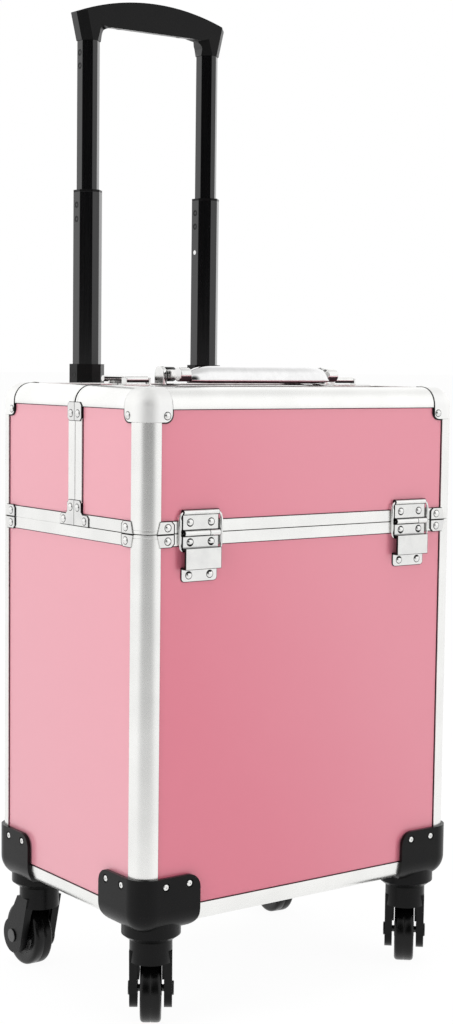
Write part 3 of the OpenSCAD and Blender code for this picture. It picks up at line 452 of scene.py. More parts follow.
def islands(node):
    """Middle and size of each separate solid in a CAD node."""
    probe = copy_of(node, "probe")
    edit_all(probe)
    bpy.ops.mesh.separate(type="LOOSE")
    done()
    found = []
    for part in list(bpy.context.selected_objects):
        corners = [Vector(corner) for corner in part.bound_box]
        low = Vector([min(c[i] for c in corners) for i in range(3)])
        high = Vector([max(c[i] for c in corners) for i in range(3)])
        found.append(((low + high) / 2, high - low))
        bpy.data.objects.remove(part)
    return found


def clear_selection(piece, kind):
    """Leaves nothing selected in a piece, ready for faces, edges or corners to be picked in object mode."""
    edit(piece)
    bpy.ops.mesh.select_mode(type=kind)
    bpy.ops.mesh.select_all(action="DESELECT")
    done()


def select_facing(piece, *directions):
    """In object mode, selects the faces that look along any of some directions."""
    clear_selection(piece, "FACE")
    for face in piece.data.polygons:
        face.select = any(face.normal.dot(direction) > FACING for direction in directions)


def turned(profile, sides):
    """A turned solid about the z axis from (height, radius) pairs in millimetres."""
    (height, radius), rest = profile[0], profile[1:]
    piece = start(bpy.ops.mesh.primitive_circle_add, vertices=sides, radius=radius * MM, fill_type="NGON",
                  location=(0, 0, height * MM))
    settle(piece)
    edit_all(piece)
    for next_height, next_radius in rest:
        share = next_radius / radius
        rise = (0, 0, (next_height - height) * MM)
        bpy.ops.mesh.extrude_region_move(TRANSFORM_OT_translate={"value": rise})
        bpy.ops.transform.resize(value=(share, share, 1), center_override=(0, 0, 0))
        height, radius = next_height, next_radius
    bpy.ops.mesh.select_all(action="SELECT")
    bpy.ops.mesh.normals_make_consistent(inside=False)
    done()
    return piece


def second_finish(piece, material, chosen):
    """Gives the faces of a piece that pass a test a second finish."""
    piece.data.materials.append(material)
    for face in piece.data.polygons:
        if chosen(face):
            face.material_index = 1


def shade_under(piece, least=UNDERSIDE):
    """Paints shade on the underside of a bright piece: its downward faces get a dull dark grey."""
    second_finish(piece, UNDERSIDE_SHADE_MATERIAL, lambda face: face.normal.z < -least)


# Fasteners

# Profiles of turned heads: height and radius in mm, from the foot to the mark or recess in the crown
RIVET_PROFILE = ((0, 3.0), (0.2, 2.98), (0.55, 2.7), (0.9, 2.2), (1.18, 1.55), (1.34, 0.9), (1.4, 0.4))
# Black ring under a rivet head: a painted shadow round it
SHADOW_RING_PROFILE = ((0, 3.45), (0.12, 3.4), (0.15, 2.6))
SCREW_PROFILE = ((0, 2.6), (0.7, 2.6), (1.0, 2.3), (1.2, 1.7), (1.2, 1.0), (0.6, 0.9))
FLUSH_PROFILE = ((-0.3, 3.0), (0.12, 3.0), (0.18, 2.7), (0.06, 2.2), (0.06, 1.2), (-0.2, 1.0))
PIN_PROFILE = ((-0.3, 2.2), (0.05, 2.2), (0.14, 1.7), (0.18, 0.8))
HEAD_SIDES = 24
# Node, name of the piece and profile of the heads that replace it
HEADS = (("body_rivets", "body_rivet_heads", RIVET_PROFILE), ("lid_rivets", "lid_rivet_heads", RIVET_PROFILE),
         ("bracket_screws", "bracket_screw_heads", SCREW_PROFILE))
# Countersunk heads on the left flats of the pull tubes: body, node, left or right tube, drops from the top
TUBE_SCREWS = (("trolley_inner", "inner_tubes", -1, (24, 36)),
               ("trolley_middle", "middle_tubes", -1, (12, 25)),
               ("trolley_middle", "middle_tubes", 1, (12, 25)))
# Drops of the collar's screw and of the lock pin, as those above in mm
COLLAR_SCREW_DROP = 10
LOCK_PIN_DROP = 50
# Distance of the screws under the pull grip from its middle
GRIP_SCREW_X = 34 * MM


def head_pattern(profile):
    """Low head of a rivet, a screw or a pin, standing on z = 0."""
    head = turned(profile, HEAD_SIDES)
    smooth(head, HEAD_ANGLE)
    return head


def outward_place(middle, size, centre):
    """Matrix that stands a head, modelled on z = 0, on the face behind a small flat solid."""
    axis = min(range(3), key=lambda i: size[i])
    sign = 1 if axis == 2 or middle[axis] > centre[axis] else -1
    normal = Vector([sign if i == axis else 0 for i in range(3)])
    foot = middle - normal * size[axis] / 2
    return Matrix.Translation(foot) @ normal.to_track_quat("Z", "Y").to_matrix().to_4x4()


def on_each_solid(node, profile, name):
    """A turned head in the place of each solid of a fastener node, as one piece."""
    pattern = head_pattern(profile)
    low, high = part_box("floor_panel")
    centre = (low + high) / 2
    parts = [placed_copy(pattern, outward_place(middle, size, centre)) for middle, size in islands(node)]
    bpy.data.objects.remove(pattern)
    return joined(parts, name)


def on_left_flat(node, side, drop):
    """Place on the left flat of the left or right tube of a node, a drop in mm below its top."""
    low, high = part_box(node)
    width = min(size.x for middle, size in islands(node))
    x = low.x if side < 0 else high.x - width
    face = Matrix.Rotation(-math.pi / 2, 4, "Y")
    return Matrix.Translation((x, (low.y + high.y) / 2, high.z - drop * MM)) @ face


def under_grip(side):
    """Place on the underside of the pull grip, left or right of the release button."""
    button = islands("release_button")[0][0]
    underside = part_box("pull_grip")[0].z + GRIP_SOCKET + GRIP_RISE / 2
    down = Matrix.Rotation(math.pi, 4, "X")
    return Matrix.Translation((button.x + side * GRIP_SCREW_X, button.y, underside)) @ down


def make_tube_screws():
    flush = head_pattern(FLUSH_PROFILE)
    places = {"trolley_inner": [], "trolley_middle": []}
    for body, node, side, drops in TUBE_SCREWS:
        places[body] += [on_left_flat(node, side, drop) for drop in drops]
    places["trolley_inner"] += [under_grip(side) for side in (-1, 1)]
    for body, spots in places.items():
        heads = joined([placed_copy(flush, spot) for spot in spots], body + "_screws")
        finish_piece(heads, "black_plastic", body)
    collar = placed_copy(flush, on_left_flat("tube_collars", -1, COLLAR_SCREW_DROP))
    collar.name = "collar_screw"
    finish_piece(collar, "black_plastic", "case")
    bpy.data.objects.remove(flush)
    pin = head_pattern(PIN_PROFILE)
    pin.data.transform(on_left_flat("middle_tubes", 1, LOCK_PIN_DROP))
    pin.name = "lock_pin"
    finish_piece(pin, "plated_steel", "trolley_middle")


def make_fasteners():
    """Rivets, each on a black ring that paints the shadow round its head, bracket screws and the screws of
    the pull tubes.
    """
    for owner in ("body", "lid"):
        node = owner + "_rivets"
        # A black ring under each rivet head paints the shadow round it
        shadow_rings = on_each_solid(node, SHADOW_RING_PROFILE, owner + "_rivet_shadow_rings")
        finish_piece(shadow_rings, "black_plastic", BODY_OF[node])
    for node, name, profile in HEADS:
        finish_piece(on_each_solid(node, profile, name), SLOT_OF[node], BODY_OF[node], node)
    make_tube_screws()


# Frame, fittings, tubes and casters that keep their CAD form, with the edges broken

EDGE_MM = {
    "lower_posts": 0.3, "bottom_rails": 0.3, "lower_rim": 0.35, "rear_posts": 0.3, "rear_top_rails": 0.3,
    "rear_rim": 0.35, "rear_corner_caps": 0.4, "lid_posts": 0.3, "lid_top_rails": 0.3, "lid_rim": 0.35,
    "lid_corner_caps": 0.4, "body_joint_plates": 0.3, "lid_joint_plates": 0.3, "hinge_body_leaves": 0.3,
    "hinge_lid_leaves": 0.3, "latch_keepers": 0.3, "latch_bases": 0.3, "latch_lever_left": 0.35,
    "latch_lever_right": 0.35, "handle_brackets": 0.8, "handle_ends": 0.8, "outer_tubes": 0.3,
    "middle_tubes": 0.3, "middle_bushes": 0.3, "inner_tubes": 0.3, "release_button": 0.6,
}
FORK_EDGE_MM = 1.2
AXLE_EDGE_MM = 0.5
# Bright fittings whose undersides get the painted shade
SHADED_FITTINGS = ("handle_ends", "handle_brackets", "latch_lever_left", "latch_lever_right")

# Caster brackets: broken edge, fillet round the turret, height that the turret takes from the foot up
BRACKET_EDGE_MM = 0.8
FILLET = 3.5 * MM
TURRET = 16 * MM
# An edge is hollow where the next face stands this far in front of a face and turns by more than this cosine
HOLLOW_STEP = 0.2 * MM
HOLLOW_TURN = 0.9


def make_brackets():
    """Corner brackets with the moulded fillet where the turret grows out of the shell."""
    piece = copy_of("caster_brackets", "caster_brackets_dressed")
    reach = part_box("caster_brackets")[0].z + TURRET
    clear_selection(piece, "EDGE")
    mesh = piece.data
    beside = {}
    for face in mesh.polygons:
        for key in face.edge_keys:
            beside.setdefault(key, []).append(face)
    for line in mesh.edges:
        faces = beside.get(line.key, [])
        top = max(mesh.vertices[i].co.z for i in line.vertices)
        if len(faces) == 2 and top < reach:
            first, second = faces
            line.select = ((second.center - first.center).dot(first.normal) > HOLLOW_STEP
                           and first.normal.dot(second.normal) < HOLLOW_TURN)
    edit(piece)
    bpy.ops.mesh.bevel(offset=FILLET, segments=4, affect="EDGES", clamp_overlap=True)
    done()
    soften(piece, BRACKET_EDGE_MM)
    finish_piece(piece, "black_plastic", "case", "caster_brackets")


def make_dressed():
    for node, width in EDGE_MM.items():
        piece = dress(node, width, material=CAP_MATERIAL if node.endswith("corner_caps") else None)
        # Painted shade on the undersides of the bright fittings
        if node in SHADED_FITTINGS:
            shade_under(piece)
    make_brackets()
    for corner in CORNERS:
        dress("fork_" + corner, FORK_EDGE_MM, segments=3)
        dress("axle_" + corner, AXLE_EDGE_MM, material=AXLE_MATERIAL)


# Pull grip

# Height of the legs up to the underside, and how far the underside rises at the back
GRIP_SOCKET = 13 * MM
GRIP_RISE = 4 * MM
# Flare of the ends, the height that it takes, the width of a leg and the lean of its inner side
GRIP_FLARE = 6 * MM
GRIP_END_H = 25 * MM
GRIP_LEG_W = 20.6 * MM
GRIP_LEAN = math.radians(15)
# Chamfer of the legs, and the bars that cut it: foot below the grip, top of the outer, spare of the inner
GRIP_CHAMFER = 7.5 * MM
GRIP_BAR_FOOT = -20 * MM
GRIP_BAR_TOP = 60 * MM
GRIP_BAR_SPARE = 0.4 * MM
GRIP_EDGE_MM = 0.6
# Corners of the underside lie between these heights above the top of the legs
GRIP_UNDERSIDE = (-3 * MM, 0.5 * MM)
# Polished facets look sideways by this share, and those of the ends lie within this of the outer legs
GRIP_SIDEWAYS = 0.7
GRIP_END_BAND = 2 * MM


def corner_bar(at, lean, top):
    """A square bar on edge, leaning sideways, that cuts a corner of a leg to a chamfer."""
    bar = start(bpy.ops.mesh.primitive_cube_add, size=1)
    side = GRIP_CHAMFER * math.sqrt(2)
    size = Matrix.Diagonal((side, side, top - GRIP_BAR_FOOT, 1))
    lift = Matrix.Translation((0, 0, (top + GRIP_BAR_FOOT) / 2))
    turn = Matrix.Rotation(lean, 4, "Y") @ Matrix.Rotation(math.pi / 4, 4, "Z")
    bar.data.transform(Matrix.Translation(at) @ turn @ lift @ size)
    return bar


def make_pull_grip():
    """Grip with legs chamfered like the tubes below, flared ends and soft edges."""
    piece = copy_of("pull_grip", "pull_grip_shell")
    low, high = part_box("pull_grip")
    middle = (low + high) / 2
    foot = (high.x - low.x) / 2 - GRIP_FLARE
    slope = math.atan2(GRIP_FLARE, GRIP_END_H)
    bars = []
    for side in (-1, 1):
        for y in (low.y, high.y):
            outside = Vector((middle.x + side * foot, y, low.z))
            bars.append(corner_bar(outside, side * slope, GRIP_BAR_TOP))
            inside = Vector((middle.x + side * (foot - GRIP_LEG_W), y, low.z))
            bars.append(corner_bar(inside, -side * GRIP_LEAN, GRIP_SOCKET + GRIP_BAR_SPARE))
    cutter = joined(bars, "grip_cutter")
    apply_modifier(piece, "BOOLEAN", operation="DIFFERENCE", solver="EXACT", object=cutter)
    bpy.data.objects.remove(cutter)
    clear_selection(piece, "VERT")
    lowest, highest = (low.z + GRIP_SOCKET + step for step in GRIP_UNDERSIDE)
    for vertex in piece.data.vertices:
        between_legs = abs(vertex.co.x - middle.x) < foot - GRIP_LEG_W
        vertex.select = between_legs and vertex.co.y > middle.y and lowest < vertex.co.z < highest
    edit(piece)
    bpy.ops.transform.translate(value=(0, 0, GRIP_RISE))
    done()
    soften(piece, GRIP_EDGE_MM, segments=3)
    finish_piece(piece, "black_plastic", "trolley_inner", "pull_grip")

    def polished(face):
        at_end = abs(face.center.x - middle.x) > foot - GRIP_END_BAND
        return abs(face.normal.x) > GRIP_SIDEWAYS and (at_end or face.center.z < low.z + GRIP_SOCKET)

    second_finish(piece, MATERIAL_OF["black_tube"], polished)


# Wheels

WHEEL_SIDES = 64
# Half profile of a wheel from the hub face out to the tread: distance from the middle plane, radius
WHEEL_PROFILE = ((9.2, 4.6), (9.2, 6.6), (8.8, 7.2), (7.6, 7.5), (7.6, 17.4), (8.0, 18.2), (8.7, 18.8),
                 (8.9, 21.5), (8.9, 25.2), (8.6, 26.6), (7.9, 27.7), (6.8, 28.3), (5.6, 28.5), (0.5, 28.5))
# Radius in the groove of the mould line, at the middle plane
MOULD_LINE_R = 28.2


def wheel_pattern():
    """Wheel about the X axis with a rounded tread, a dished side, a raised hub and a mould line."""
    half = [(-out, radius) for out, radius in WHEEL_PROFILE]
    whole = half + [(0.0, MOULD_LINE_R)] + [(-out, radius) for out, radius in reversed(half)]
    wheel = turned(whole, WHEEL_SIDES)
    wheel.data.transform(Matrix.Rotation(math.pi / 2, 4, "Y"))
    smooth(wheel, SHARP_ANGLE)
    return wheel


def make_wheels():
    pattern = wheel_pattern()
    for corner in CORNERS:
        joint = JOINT["roll_" + corner]
        turn = Vector((1, 0, 0)).rotation_difference(Vector(joint["axis"])).to_matrix().to_4x4()
        wheel = placed_copy(pattern, Matrix.Translation(joint["pos_m"]) @ turn)
        wheel.name = "tyre_" + corner
        finish_piece(wheel, "wheel_rubber", "roller_" + corner, "wheel_" + corner)
    bpy.data.objects.remove(pattern)


# Carry handle

CARRY_SIDES = 48
# Half length of the grip's straight body
CARRY_BODY = 54 * MM
# Draw-in of the grip's ends: step along the grip in mm, share of the full section
CARRY_TAPER = ((5, 0.985), (5, 0.94), (4.5, 0.86), (3.5, 0.75), (2, 0.64), (1.6, 0.56))
# Share of the half height that is left under the grip's widest line
CARRY_BELLY = 0.35
# How far a face of the carry grip has to look down to get the painted underside shade
CARRY_UNDERSIDE = 0.35
SLEEVE_PROFILE = ((0.5, 5.6), (0.5, 6.0), (0.8, 6.25), (10.4, 6.25), (10.7, 6.0), (10.7, 5.6))


def make_carry_grip():
    """Oval bright grip whose ends draw in like a bullet."""
    low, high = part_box("carry_grip")
    half_y, half_z = (high.y - low.y) / 2, (high.z - low.z) / 2
    grip = start(bpy.ops.mesh.primitive_cylinder_add, vertices=CARRY_SIDES, radius=1, depth=2 * CARRY_BODY,
                 rotation=(0, math.pi / 2, 0))
    settle(grip)
    grip.data.transform(Matrix.Diagonal((1, half_y, half_z, 1)))
    for side in (-1, 1):
        select_facing(grip, Vector((side, 0, 0)))
        edit(grip)
        size = 1.0
        for step, share in CARRY_TAPER:
            bpy.ops.mesh.extrude_region_move(TRANSFORM_OT_translate={"value": (side * step * MM, 0, 0)})
            bpy.ops.transform.resize(value=(1, share / size, share / size), center_override=(0, 0, 0))
            size = share
        bpy.ops.mesh.select_all(action="DESELECT")
        done()
    for share, lower in ((CARRY_BELLY, True), (2 - CARRY_BELLY, False)):
        clear_selection(grip, "VERT")
        for vertex in grip.data.vertices:
            vertex.select = (vertex.co.z < 0) == lower
        edit(grip)
        bpy.ops.transform.resize(value=(1, 1, share), center_override=(0, 0, 0))
        done()
    widest = (low + high) / 2 - Vector((0, 0, half_z * (1 - CARRY_BELLY)))
    grip.data.transform(Matrix.Translation(widest))
    smooth(grip, ROUND_ANGLE)
    grip.name = "carry_grip_shell"
    finish_piece(grip, "plated_steel", "carry_handle", "carry_grip", material=CHROME_MATERIAL)
    # Painted shade on the grip's underside
    shade_under(grip, CARRY_UNDERSIDE)


def make_sleeves():
    """A black sleeve round each pivot eye of the carry handle."""
    low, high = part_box("carry_grip")
    pivot = Vector(JOINT["carry_handle_lift"]["pos_m"])
    pattern = head_pattern(SLEEVE_PROFILE)
    sleeves = []
    for x, turn in ((low.x, -math.pi / 2), (high.x, math.pi / 2)):
        place = Matrix.Translation((x, pivot.y, pivot.z)) @ Matrix.Rotation(turn, 4, "Y")
        sleeves.append(placed_copy(pattern, place))
    bpy.data.objects.remove(pattern)
    finish_piece(joined(sleeves, "pivot_sleeves"), "black_plastic", "carry_handle")


# Stay loops

# Radius of the wire, radius of the loop's corners, depth as a share of the wire, width added to the CAD loop
STAY_WIRE = 1.0 * MM
STAY_CORNER = 4.5 * MM
STAY_FLAT = 0.78
STAY_WIDEN = 2.2 * MM
# Radius of the stouter sides in mm, and the length over which they taper to the wire
STAY_SIDE_R = 1.5
STAY_TAPER = 2
STAY_SIDES = 16


def stay_loop(middle, size):
    """A loop of slightly flattened wire with round corners and stouter sides."""
    width, height = size.x + STAY_WIDEN - 2 * STAY_WIRE, size.z - 2 * STAY_WIRE
    loop = start(bpy.ops.mesh.primitive_plane_add, size=1)
    loop.data.transform(Matrix.Diagonal((width, height, 1, 1)))
    edit_all(loop)
    bpy.ops.mesh.bevel(offset=STAY_CORNER, segments=6, affect="VERTICES")
    bpy.ops.mesh.delete(type="ONLY_FACE")
    done()
    bpy.ops.object.convert(target="CURVE")
    loop = bpy.context.active_object
    loop.data.bevel_depth = STAY_WIRE
    loop.data.bevel_resolution = 3
    bpy.ops.object.convert(target="MESH")
    loop = bpy.context.active_object
    loop.data.transform(Matrix.Rotation(math.pi / 2, 4, "X"))
    wire, reach = STAY_WIRE / MM, (height / 2 - STAY_CORNER) / MM
    bar = turned(((-reach, wire), (STAY_TAPER - reach, STAY_SIDE_R), (reach - STAY_TAPER, STAY_SIDE_R),
                  (reach, wire)), STAY_SIDES)
    bars = [placed_copy(bar, Matrix.Translation((side * width / 2, 0, 0))) for side in (-1, 1)]
    bpy.data.objects.remove(bar)
    whole = joined([loop] + bars, "stay_wire")
    whole.data.transform(Matrix.Translation(middle) @ Matrix.Diagonal((1, STAY_FLAT, 1, 1)))
    smooth(whole, ROUND_ANGLE)
    return whole


def make_stays():
    loops = [stay_loop(middle, size) for middle, size in islands("stay_loops")]
    finish_piece(joined(loops, "stay_wires"), "plated_steel", "stays", "stay_loops")


# Painted shadows round the plates where they lie on the frame, and dark lines where two pieces meet

# Width of a painted shadow round a plate, and how deep it lies behind plates and behind corner caps
SHADOW_W = 0.4 * MM
SHADOW_IN = 0.7 * MM
CAP_SHADOW_IN = 0.55 * MM
# Width of a line, how far it stands proud, and the height of the slab that cuts it
LINE_W = 0.7 * MM
LINE_H = 0.25 * MM
LINE_SLAB = 60 * MM


def fatten(piece, depth):
    """Moves every face of a piece out by a depth."""
    edit_all(piece)
    bpy.ops.transform.shrink_fatten(value=depth, use_even_offset=True)
    done()


def drawn_in(depth):
    """Matrix that draws what lies on the outside of the case in by a depth on its four sides."""
    low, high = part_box("lower_posts")
    middle, half = (low + high) / 2, (high - low) / 2
    shares = Matrix.Diagonal((1 - depth / half.x, 1 - depth / half.y, 1, 1))
    return Matrix.Translation(middle) @ shares @ Matrix.Translation(-middle)


def painted_shadow_round(node, inward):
    """A slightly larger dark copy of a plate, sunk in behind it: a painted shadow round the plate."""
    piece = copy_of(node, node + "_painted_shadow")
    fatten(piece, SHADOW_W)
    piece.data.transform(inward)
    finish_piece(piece, "black_plastic", BODY_OF[node])


def joint_line(node, axis, at, name):
    """A thin dark slice of a node across an axis, slightly proud: the line where two pieces meet."""
    piece = copy_of(node, name)
    size, middle = [1, 1, LINE_SLAB], [0, 0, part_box("rear_rim")[1].z]
    size[axis], middle[axis] = LINE_W, at
    slab = start(bpy.ops.mesh.primitive_cube_add, size=1, location=middle)
    slab.scale = size
    apply_modifier(piece, "BOOLEAN", operation="INTERSECT", solver="EXACT", object=slab)
    bpy.data.objects.remove(slab)
    fatten(piece, LINE_H)
    finish_piece(piece, "black_plastic", BODY_OF[node])


def make_painted_shadows():
    for node in ("hinge_body_leaves", "hinge_lid_leaves"):
        painted_shadow_round(node, Matrix.Translation((0, SHADOW_IN, 0)))
    for node in ("body_joint_plates", "lid_joint_plates"):
        painted_shadow_round(node, drawn_in(SHADOW_IN))
    for node in ("rear_corner_caps", "lid_corner_caps"):
        painted_shadow_round(node, Matrix.Translation((0, 0, -CAP_SHADOW_IN)) @ drawn_in(CAP_SHADOW_IN))
    for node, name in (("rear_rim", "split_line"), ("rear_corner_caps", "rear_cap_lines")):
        joint_line(node, 1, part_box(node)[0].y + LINE_W / 2, name)
    middle, size = max(islands("lid_corner_caps"), key=lambda found: found[0].x)
    joint_line("lid_corner_caps", 0, middle.x - size.x / 2 + LINE_W / 2, "lid_cap_line")


# Painted shadow lines: the thin dark line between a panel and its frame

# Face of a rail, height and width of the rim strips, depth of the panels behind the frame's outside
RAIL_W = 17.8 * MM
STRIP_H = 9.7 * MM
STRIP_W = 10.4 * MM
RECESS = 1.5 * MM
SHADOW_LINE_W = 0.6 * MM
SHADOW_LINE_H = 0.5 * MM


def shadow_line(axis, at, out, low, high):
    """A thin ring on a panel that carries a painted shadow along its frame, at a place on an axis and looking
    out, from corner low to corner high.
    """
    u, v = [i for i in range(3) if i != axis]
    turn = Matrix.Identity(4)
    turn.col[0] = [high[0] - low[0] if i == u else 0 for i in range(3)] + [0]
    turn.col[1] = [high[1] - low[1] if i == v else 0 for i in range(3)] + [0]
    turn.col[2] = [out if i == axis else 0 for i in range(3)] + [0]
    middle = [0, 0, 0]
    middle[u], middle[v], middle[axis] = (low[0] + high[0]) / 2, (low[1] + high[1]) / 2, at
    ring = start(bpy.ops.mesh.primitive_plane_add, size=1)
    ring.data.transform(Matrix.Translation(middle) @ turn)
    edit_all(ring)
    bpy.ops.mesh.inset(thickness=SHADOW_LINE_W, depth=0)
    bpy.ops.mesh.delete(type="FACE")
    bpy.ops.mesh.select_all(action="SELECT")
    push = [SHADOW_LINE_H * out if i == axis else 0 for i in range(3)]
    bpy.ops.mesh.extrude_region_move(TRANSFORM_OT_translate={"value": push})
    bpy.ops.mesh.select_all(action="SELECT")
    bpy.ops.mesh.normals_make_consistent(inside=False)
    done()
    return ring


def make_shadow_lines():
    case_low, case_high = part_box("lower_posts")
    floor_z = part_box("bottom_rails")[0].z + RAIL_W
    seam_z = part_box("lower_rim")[1].z - STRIP_H
    lid_low, lid_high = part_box("lid_rim")
    rear_low, rear_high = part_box("rear_rim")
    left, right = case_low.x + RAIL_W, case_high.x - RAIL_W
    front, back = case_low.y + RAIL_W, case_high.y - RAIL_W
    lid_z, rear_z = lid_low.z + STRIP_H, rear_low.z + STRIP_H
    top_z = lid_high.z - RAIL_W
    lid_back, rear_front = lid_high.y - STRIP_W, rear_low.y + STRIP_W
    case, lid = [], []
    for at, out in ((case_low.x + RECESS, -1), (case_high.x - RECESS, 1)):
        case.append(shadow_line(0, at, out, (front, floor_z), (back, seam_z)))
        case.append(shadow_line(0, at, out, (rear_front, rear_z), (back, top_z)))
        lid.append(shadow_line(0, at, out, (front, lid_z), (lid_back, top_z)))
    case.append(shadow_line(1, case_low.y + RECESS, -1, (left, floor_z), (right, seam_z)))
    case.append(shadow_line(1, case_high.y - RECESS, 1, (left, floor_z), (right, seam_z)))
    case.append(shadow_line(1, case_high.y - RECESS, 1, (left, rear_z), (right, top_z)))
    lid.append(shadow_line(1, case_low.y + RECESS, -1, (left, lid_z), (right, top_z)))
    case.append(shadow_line(2, rear_high.z - RECESS, 1, (left, rear_front), (right, back)))
    lid.append(shadow_line(2, lid_high.z - RECESS, 1, (left, front), (right, lid_back)))
    # Black rings: painted shadow between the panels and the frame
    finish_piece(joined(case, "case_panel_shadow_lines"), "black_plastic", "case")
    finish_piece(joined(lid, "lid_panel_shadow_lines"), "black_plastic", "front_lid")


# Linings

# Depth of frame and board from the outside in, thickness of the foam, its room off the floor and the rims
CORE = 12.6 * MM
LINING_T = 1.6 * MM
FLOOR_ROOM = 0.4 * MM
RIM_ROOM = 2 * MM


def lining(name, body, low, high, *open_sides):
    """A lining in a compartment, left open on the sides named by direction."""
    box = start(bpy.ops.mesh.primitive_cube_add, size=1)
    box.data.transform(Matrix.Translation((low + high) / 2) @ Matrix.Diagonal([*(high - low), 1]))
    select_facing(box, *open_sides)
    edit(box)
    bpy.ops.mesh.delete(type="FACE")
    done()
    apply_modifier(box, "SOLIDIFY", thickness=LINING_T, offset=-1.0)
    box.name = name
    finish_piece(box, "dark_board", body)


def make_linings():
    case_low, case_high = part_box("lower_posts")
    floor_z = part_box("floor_panel")[1].z + FLOOR_ROOM
    inset = STRIP_H + RIM_ROOM
    seam_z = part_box("lower_rim")[1].z - inset
    lid_low, lid_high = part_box("lid_rim")
    rear_low, rear_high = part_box("rear_rim")
    left, right = case_low.x + CORE, case_high.x - CORE
    front, back = case_low.y + CORE, case_high.y - CORE
    up, down = Vector((0, 0, 1)), Vector((0, 0, -1))
    ahead, behind = Vector((0, -1, 0)), Vector((0, 1, 0))
    lining("lower_lining", "case", Vector((left, front, floor_z)), Vector((right, back, seam_z)), up)
    lining("lid_lining", "front_lid", Vector((left, front, lid_low.z + inset)),
           Vector((right, lid_high.y - inset, lid_high.z - CORE)), down, behind)
    lining("rear_lining", "case", Vector((left, rear_low.y + inset, rear_low.z + inset)),
           Vector((right, back, rear_high.z - CORE)), down, ahead)


# Stage and light

# Paper: size in metres, share of its own glow, glow as seen and as mirrored
PAPER_SIZE = 120
PAPER_SHARE = 0.93
PAPER_SEEN = 1.03
PAPER_MIRRORED = 1.05
# Dark stretch of the paper: what it takes from the mirrored glow, cosines to its edge and its middle, and
# the distances in metres where it starts and is full
PAPER_DARK = 0.43
PAPER_DARK_SPAN = (0.62, 0.94)
PAPER_DARK_FROM = (0.6, 1.6)
# Surroundings: light that they give, glow as seen, glow as mirrored at the sides and overhead
ROOM_FILL = 0.42
ROOM_SEEN = 1.0
ROOM_SIDES = 1.2
ROOM_OVERHEAD = 0.78
ROOM_OVERHEAD_SPAN = (0.6, 0.95)
# Dark side of the surroundings: what it takes from the mirrored glow, cosines to its edge and its middle
ROOM_DARK = 1.17
ROOM_DARK_SPAN = (0.68, 0.92)
# Lamps: name, place, width and height in metres, watts
LAMPS = (("left_softbox", (-2.4, -0.3, 1.1), (1.8, 2.2), 32),
         ("right_softbox", (1.5, -2.3, 1.3), (1.6, 2.0), 25.5),
         ("top_softbox", (0.0, 0.2, 2.8), (2.2, 2.2), 30))
LAMP_TARGET = Vector((0, 0, 0.4))


def seen_rays(tree):
    """One for rays that show the white surroundings, from the camera, a mirror or a clear part, and one for
    those of a mirror alone."""
    rays = add(tree, "ShaderNodeLightPath").outputs
    seen = add(tree, "ShaderNodeMath", {0: rays["Is Camera Ray"], 1: rays["Is Glossy Ray"]},
               operation="MAXIMUM")
    seen = add(tree, "ShaderNodeMath", {0: seen.outputs[0], 1: rays["Is Transmission Ray"]},
               operation="MAXIMUM")
    return seen.outputs[0], rays["Is Glossy Ray"]


def make_floor():
    """White paper, with a dark stretch beyond the camera that only reflections see."""
    floor = start(bpy.ops.mesh.primitive_plane_add, size=PAPER_SIZE)
    floor.name = "floor"
    material = bpy.data.materials.new("white_paper_sweep")
    material.use_nodes = True
    tree = material.node_tree
    tree.nodes.remove(tree.nodes["Principled BSDF"])
    seen, mirrored = seen_rays(tree)
    share = add(tree, "ShaderNodeMath", {0: seen, 1: PAPER_SHARE}, operation="MULTIPLY")
    paper = add(tree, "ShaderNodeBsdfDiffuse", {"Color": linear("#F4F4F4")})
    place = add(tree, "ShaderNodeTexCoord").outputs["Object"]
    way = add(tree, "ShaderNodeVectorMath", {0: place}, operation="NORMALIZE")
    facing = add(tree, "ShaderNodeVectorMath", {0: way.outputs["Vector"], 1: toward_camera},
                 operation="DOT_PRODUCT")
    far = add(tree, "ShaderNodeVectorMath", {0: place}, operation="LENGTH")
    far = add(tree, "ShaderNodeMapRange",
              {"Value": far.outputs["Value"], "From Min": PAPER_DARK_FROM[0], "From Max": PAPER_DARK_FROM[1]})
    dark = add(tree, "ShaderNodeMapRange",
               {"Value": facing.outputs["Value"], "From Min": PAPER_DARK_SPAN[0],
                "From Max": PAPER_DARK_SPAN[1], "To Min": 0.0, "To Max": PAPER_DARK},
               interpolation_type="SMOOTHSTEP")
    dark = add(tree, "ShaderNodeMath", {0: dark.outputs["Result"], 1: far.outputs["Result"]},
               operation="MULTIPLY")
    shown = add(tree, "ShaderNodeMath", {0: PAPER_MIRRORED, 1: dark.outputs[0]}, operation="SUBTRACT")
    level = add(tree, "ShaderNodeMix", {0: mirrored, 2: PAPER_SEEN, 3: shown.outputs[0]})
    glow = add(tree, "ShaderNodeEmission", {"Color": linear("#FFFFFF"), "Strength": level.outputs[0]})
    mixed = add(tree, "ShaderNodeMixShader", {0: share.outputs[0], 1: paper.outputs[0], 2: glow.outputs[0]})
    tree.links.new(mixed.outputs[0], tree.nodes["Material Output"].inputs["Surface"])
    floor.data.materials.append(material)


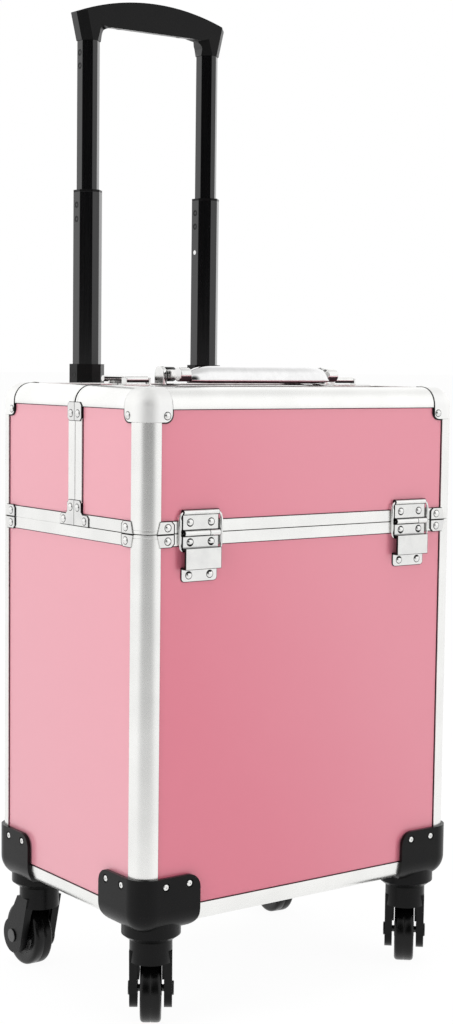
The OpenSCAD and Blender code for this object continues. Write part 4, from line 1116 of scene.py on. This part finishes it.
def make_world():
    """White round the object, with a dark side behind the camera that only reflections see."""
    world = bpy.data.worlds.new("studio")
    bpy.context.scene.world = world
    world.use_nodes = True
    tree = world.node_tree
    fill = tree.nodes["Background"]
    fill.inputs["Color"].default_value = linear("#FFFFFF")
    fill.inputs["Strength"].default_value = ROOM_FILL
    seen, mirrored = seen_rays(tree)
    place = add(tree, "ShaderNodeTexCoord").outputs["Generated"]
    facing = add(tree, "ShaderNodeVectorMath", {0: place, 1: toward_camera}, operation="DOT_PRODUCT")
    dark = add(tree, "ShaderNodeMapRange",
               {"Value": facing.outputs["Value"], "From Min": ROOM_DARK_SPAN[0],
                "From Max": ROOM_DARK_SPAN[1], "To Min": 0.0, "To Max": ROOM_DARK},
               interpolation_type="SMOOTHSTEP")
    rise = add(tree, "ShaderNodeSeparateXYZ", {"Vector": place})
    overhead = add(tree, "ShaderNodeMapRange",
                   {"Value": rise.outputs["Z"], "From Min": ROOM_OVERHEAD_SPAN[0],
                    "From Max": ROOM_OVERHEAD_SPAN[1], "To Min": ROOM_SIDES, "To Max": ROOM_OVERHEAD},
                   interpolation_type="SMOOTHSTEP")
    level = add(tree, "ShaderNodeMath", {0: overhead.outputs["Result"], 1: dark.outputs["Result"]},
                operation="SUBTRACT")
    level = add(tree, "ShaderNodeMix", {0: mirrored, 2: ROOM_SEEN, 3: level.outputs[0]})
    shown = add(tree, "ShaderNodeBackground", {"Color": linear("#FFFFFF"), "Strength": level.outputs[0]})
    mixed = add(tree, "ShaderNodeMixShader", {0: seen, 1: fill.outputs[0], 2: shown.outputs[0]})
    tree.links.new(mixed.outputs[0], tree.nodes["World Output"].inputs["Surface"])


def make_light():
    for name, at, size, watts in LAMPS:
        lamp = bpy.data.objects.new(name, bpy.data.lights.new(name, "AREA"))
        lamp.data.shape = "RECTANGLE"
        lamp.data.size, lamp.data.size_y = size
        lamp.data.energy = watts
        lamp.location = at
        lamp.rotation_mode = "QUATERNION"
        lamp.rotation_quaternion = (Vector(at) - LAMP_TARGET).to_track_quat("Z", "Y")
        lamp.visible_glossy = False
        bpy.context.scene.collection.objects.link(lamp)


def set_plain_materials():
    """CAD nodes that stay as they are get the finish of their slot."""
    for node, piece in frame["nodes"].items():
        piece.data.materials.clear()
        # The side panels get the paler film, whose tones carry a painted sheen
        side = node.endswith("side_panels")
        piece.data.materials.append(SIDE_SHEEN_MATERIAL if side else MATERIAL_OF[SLOT_OF[node]])


bpy.context.scene.view_settings.view_transform = "Standard"
set_plain_materials()
make_floor()
make_world()
make_light()
make_fasteners()
make_stays()
make_painted_shadows()
make_shadow_lines()
make_linings()
make_dressed()
make_pull_grip()
make_wheels()
make_carry_grip()
make_sleeves()
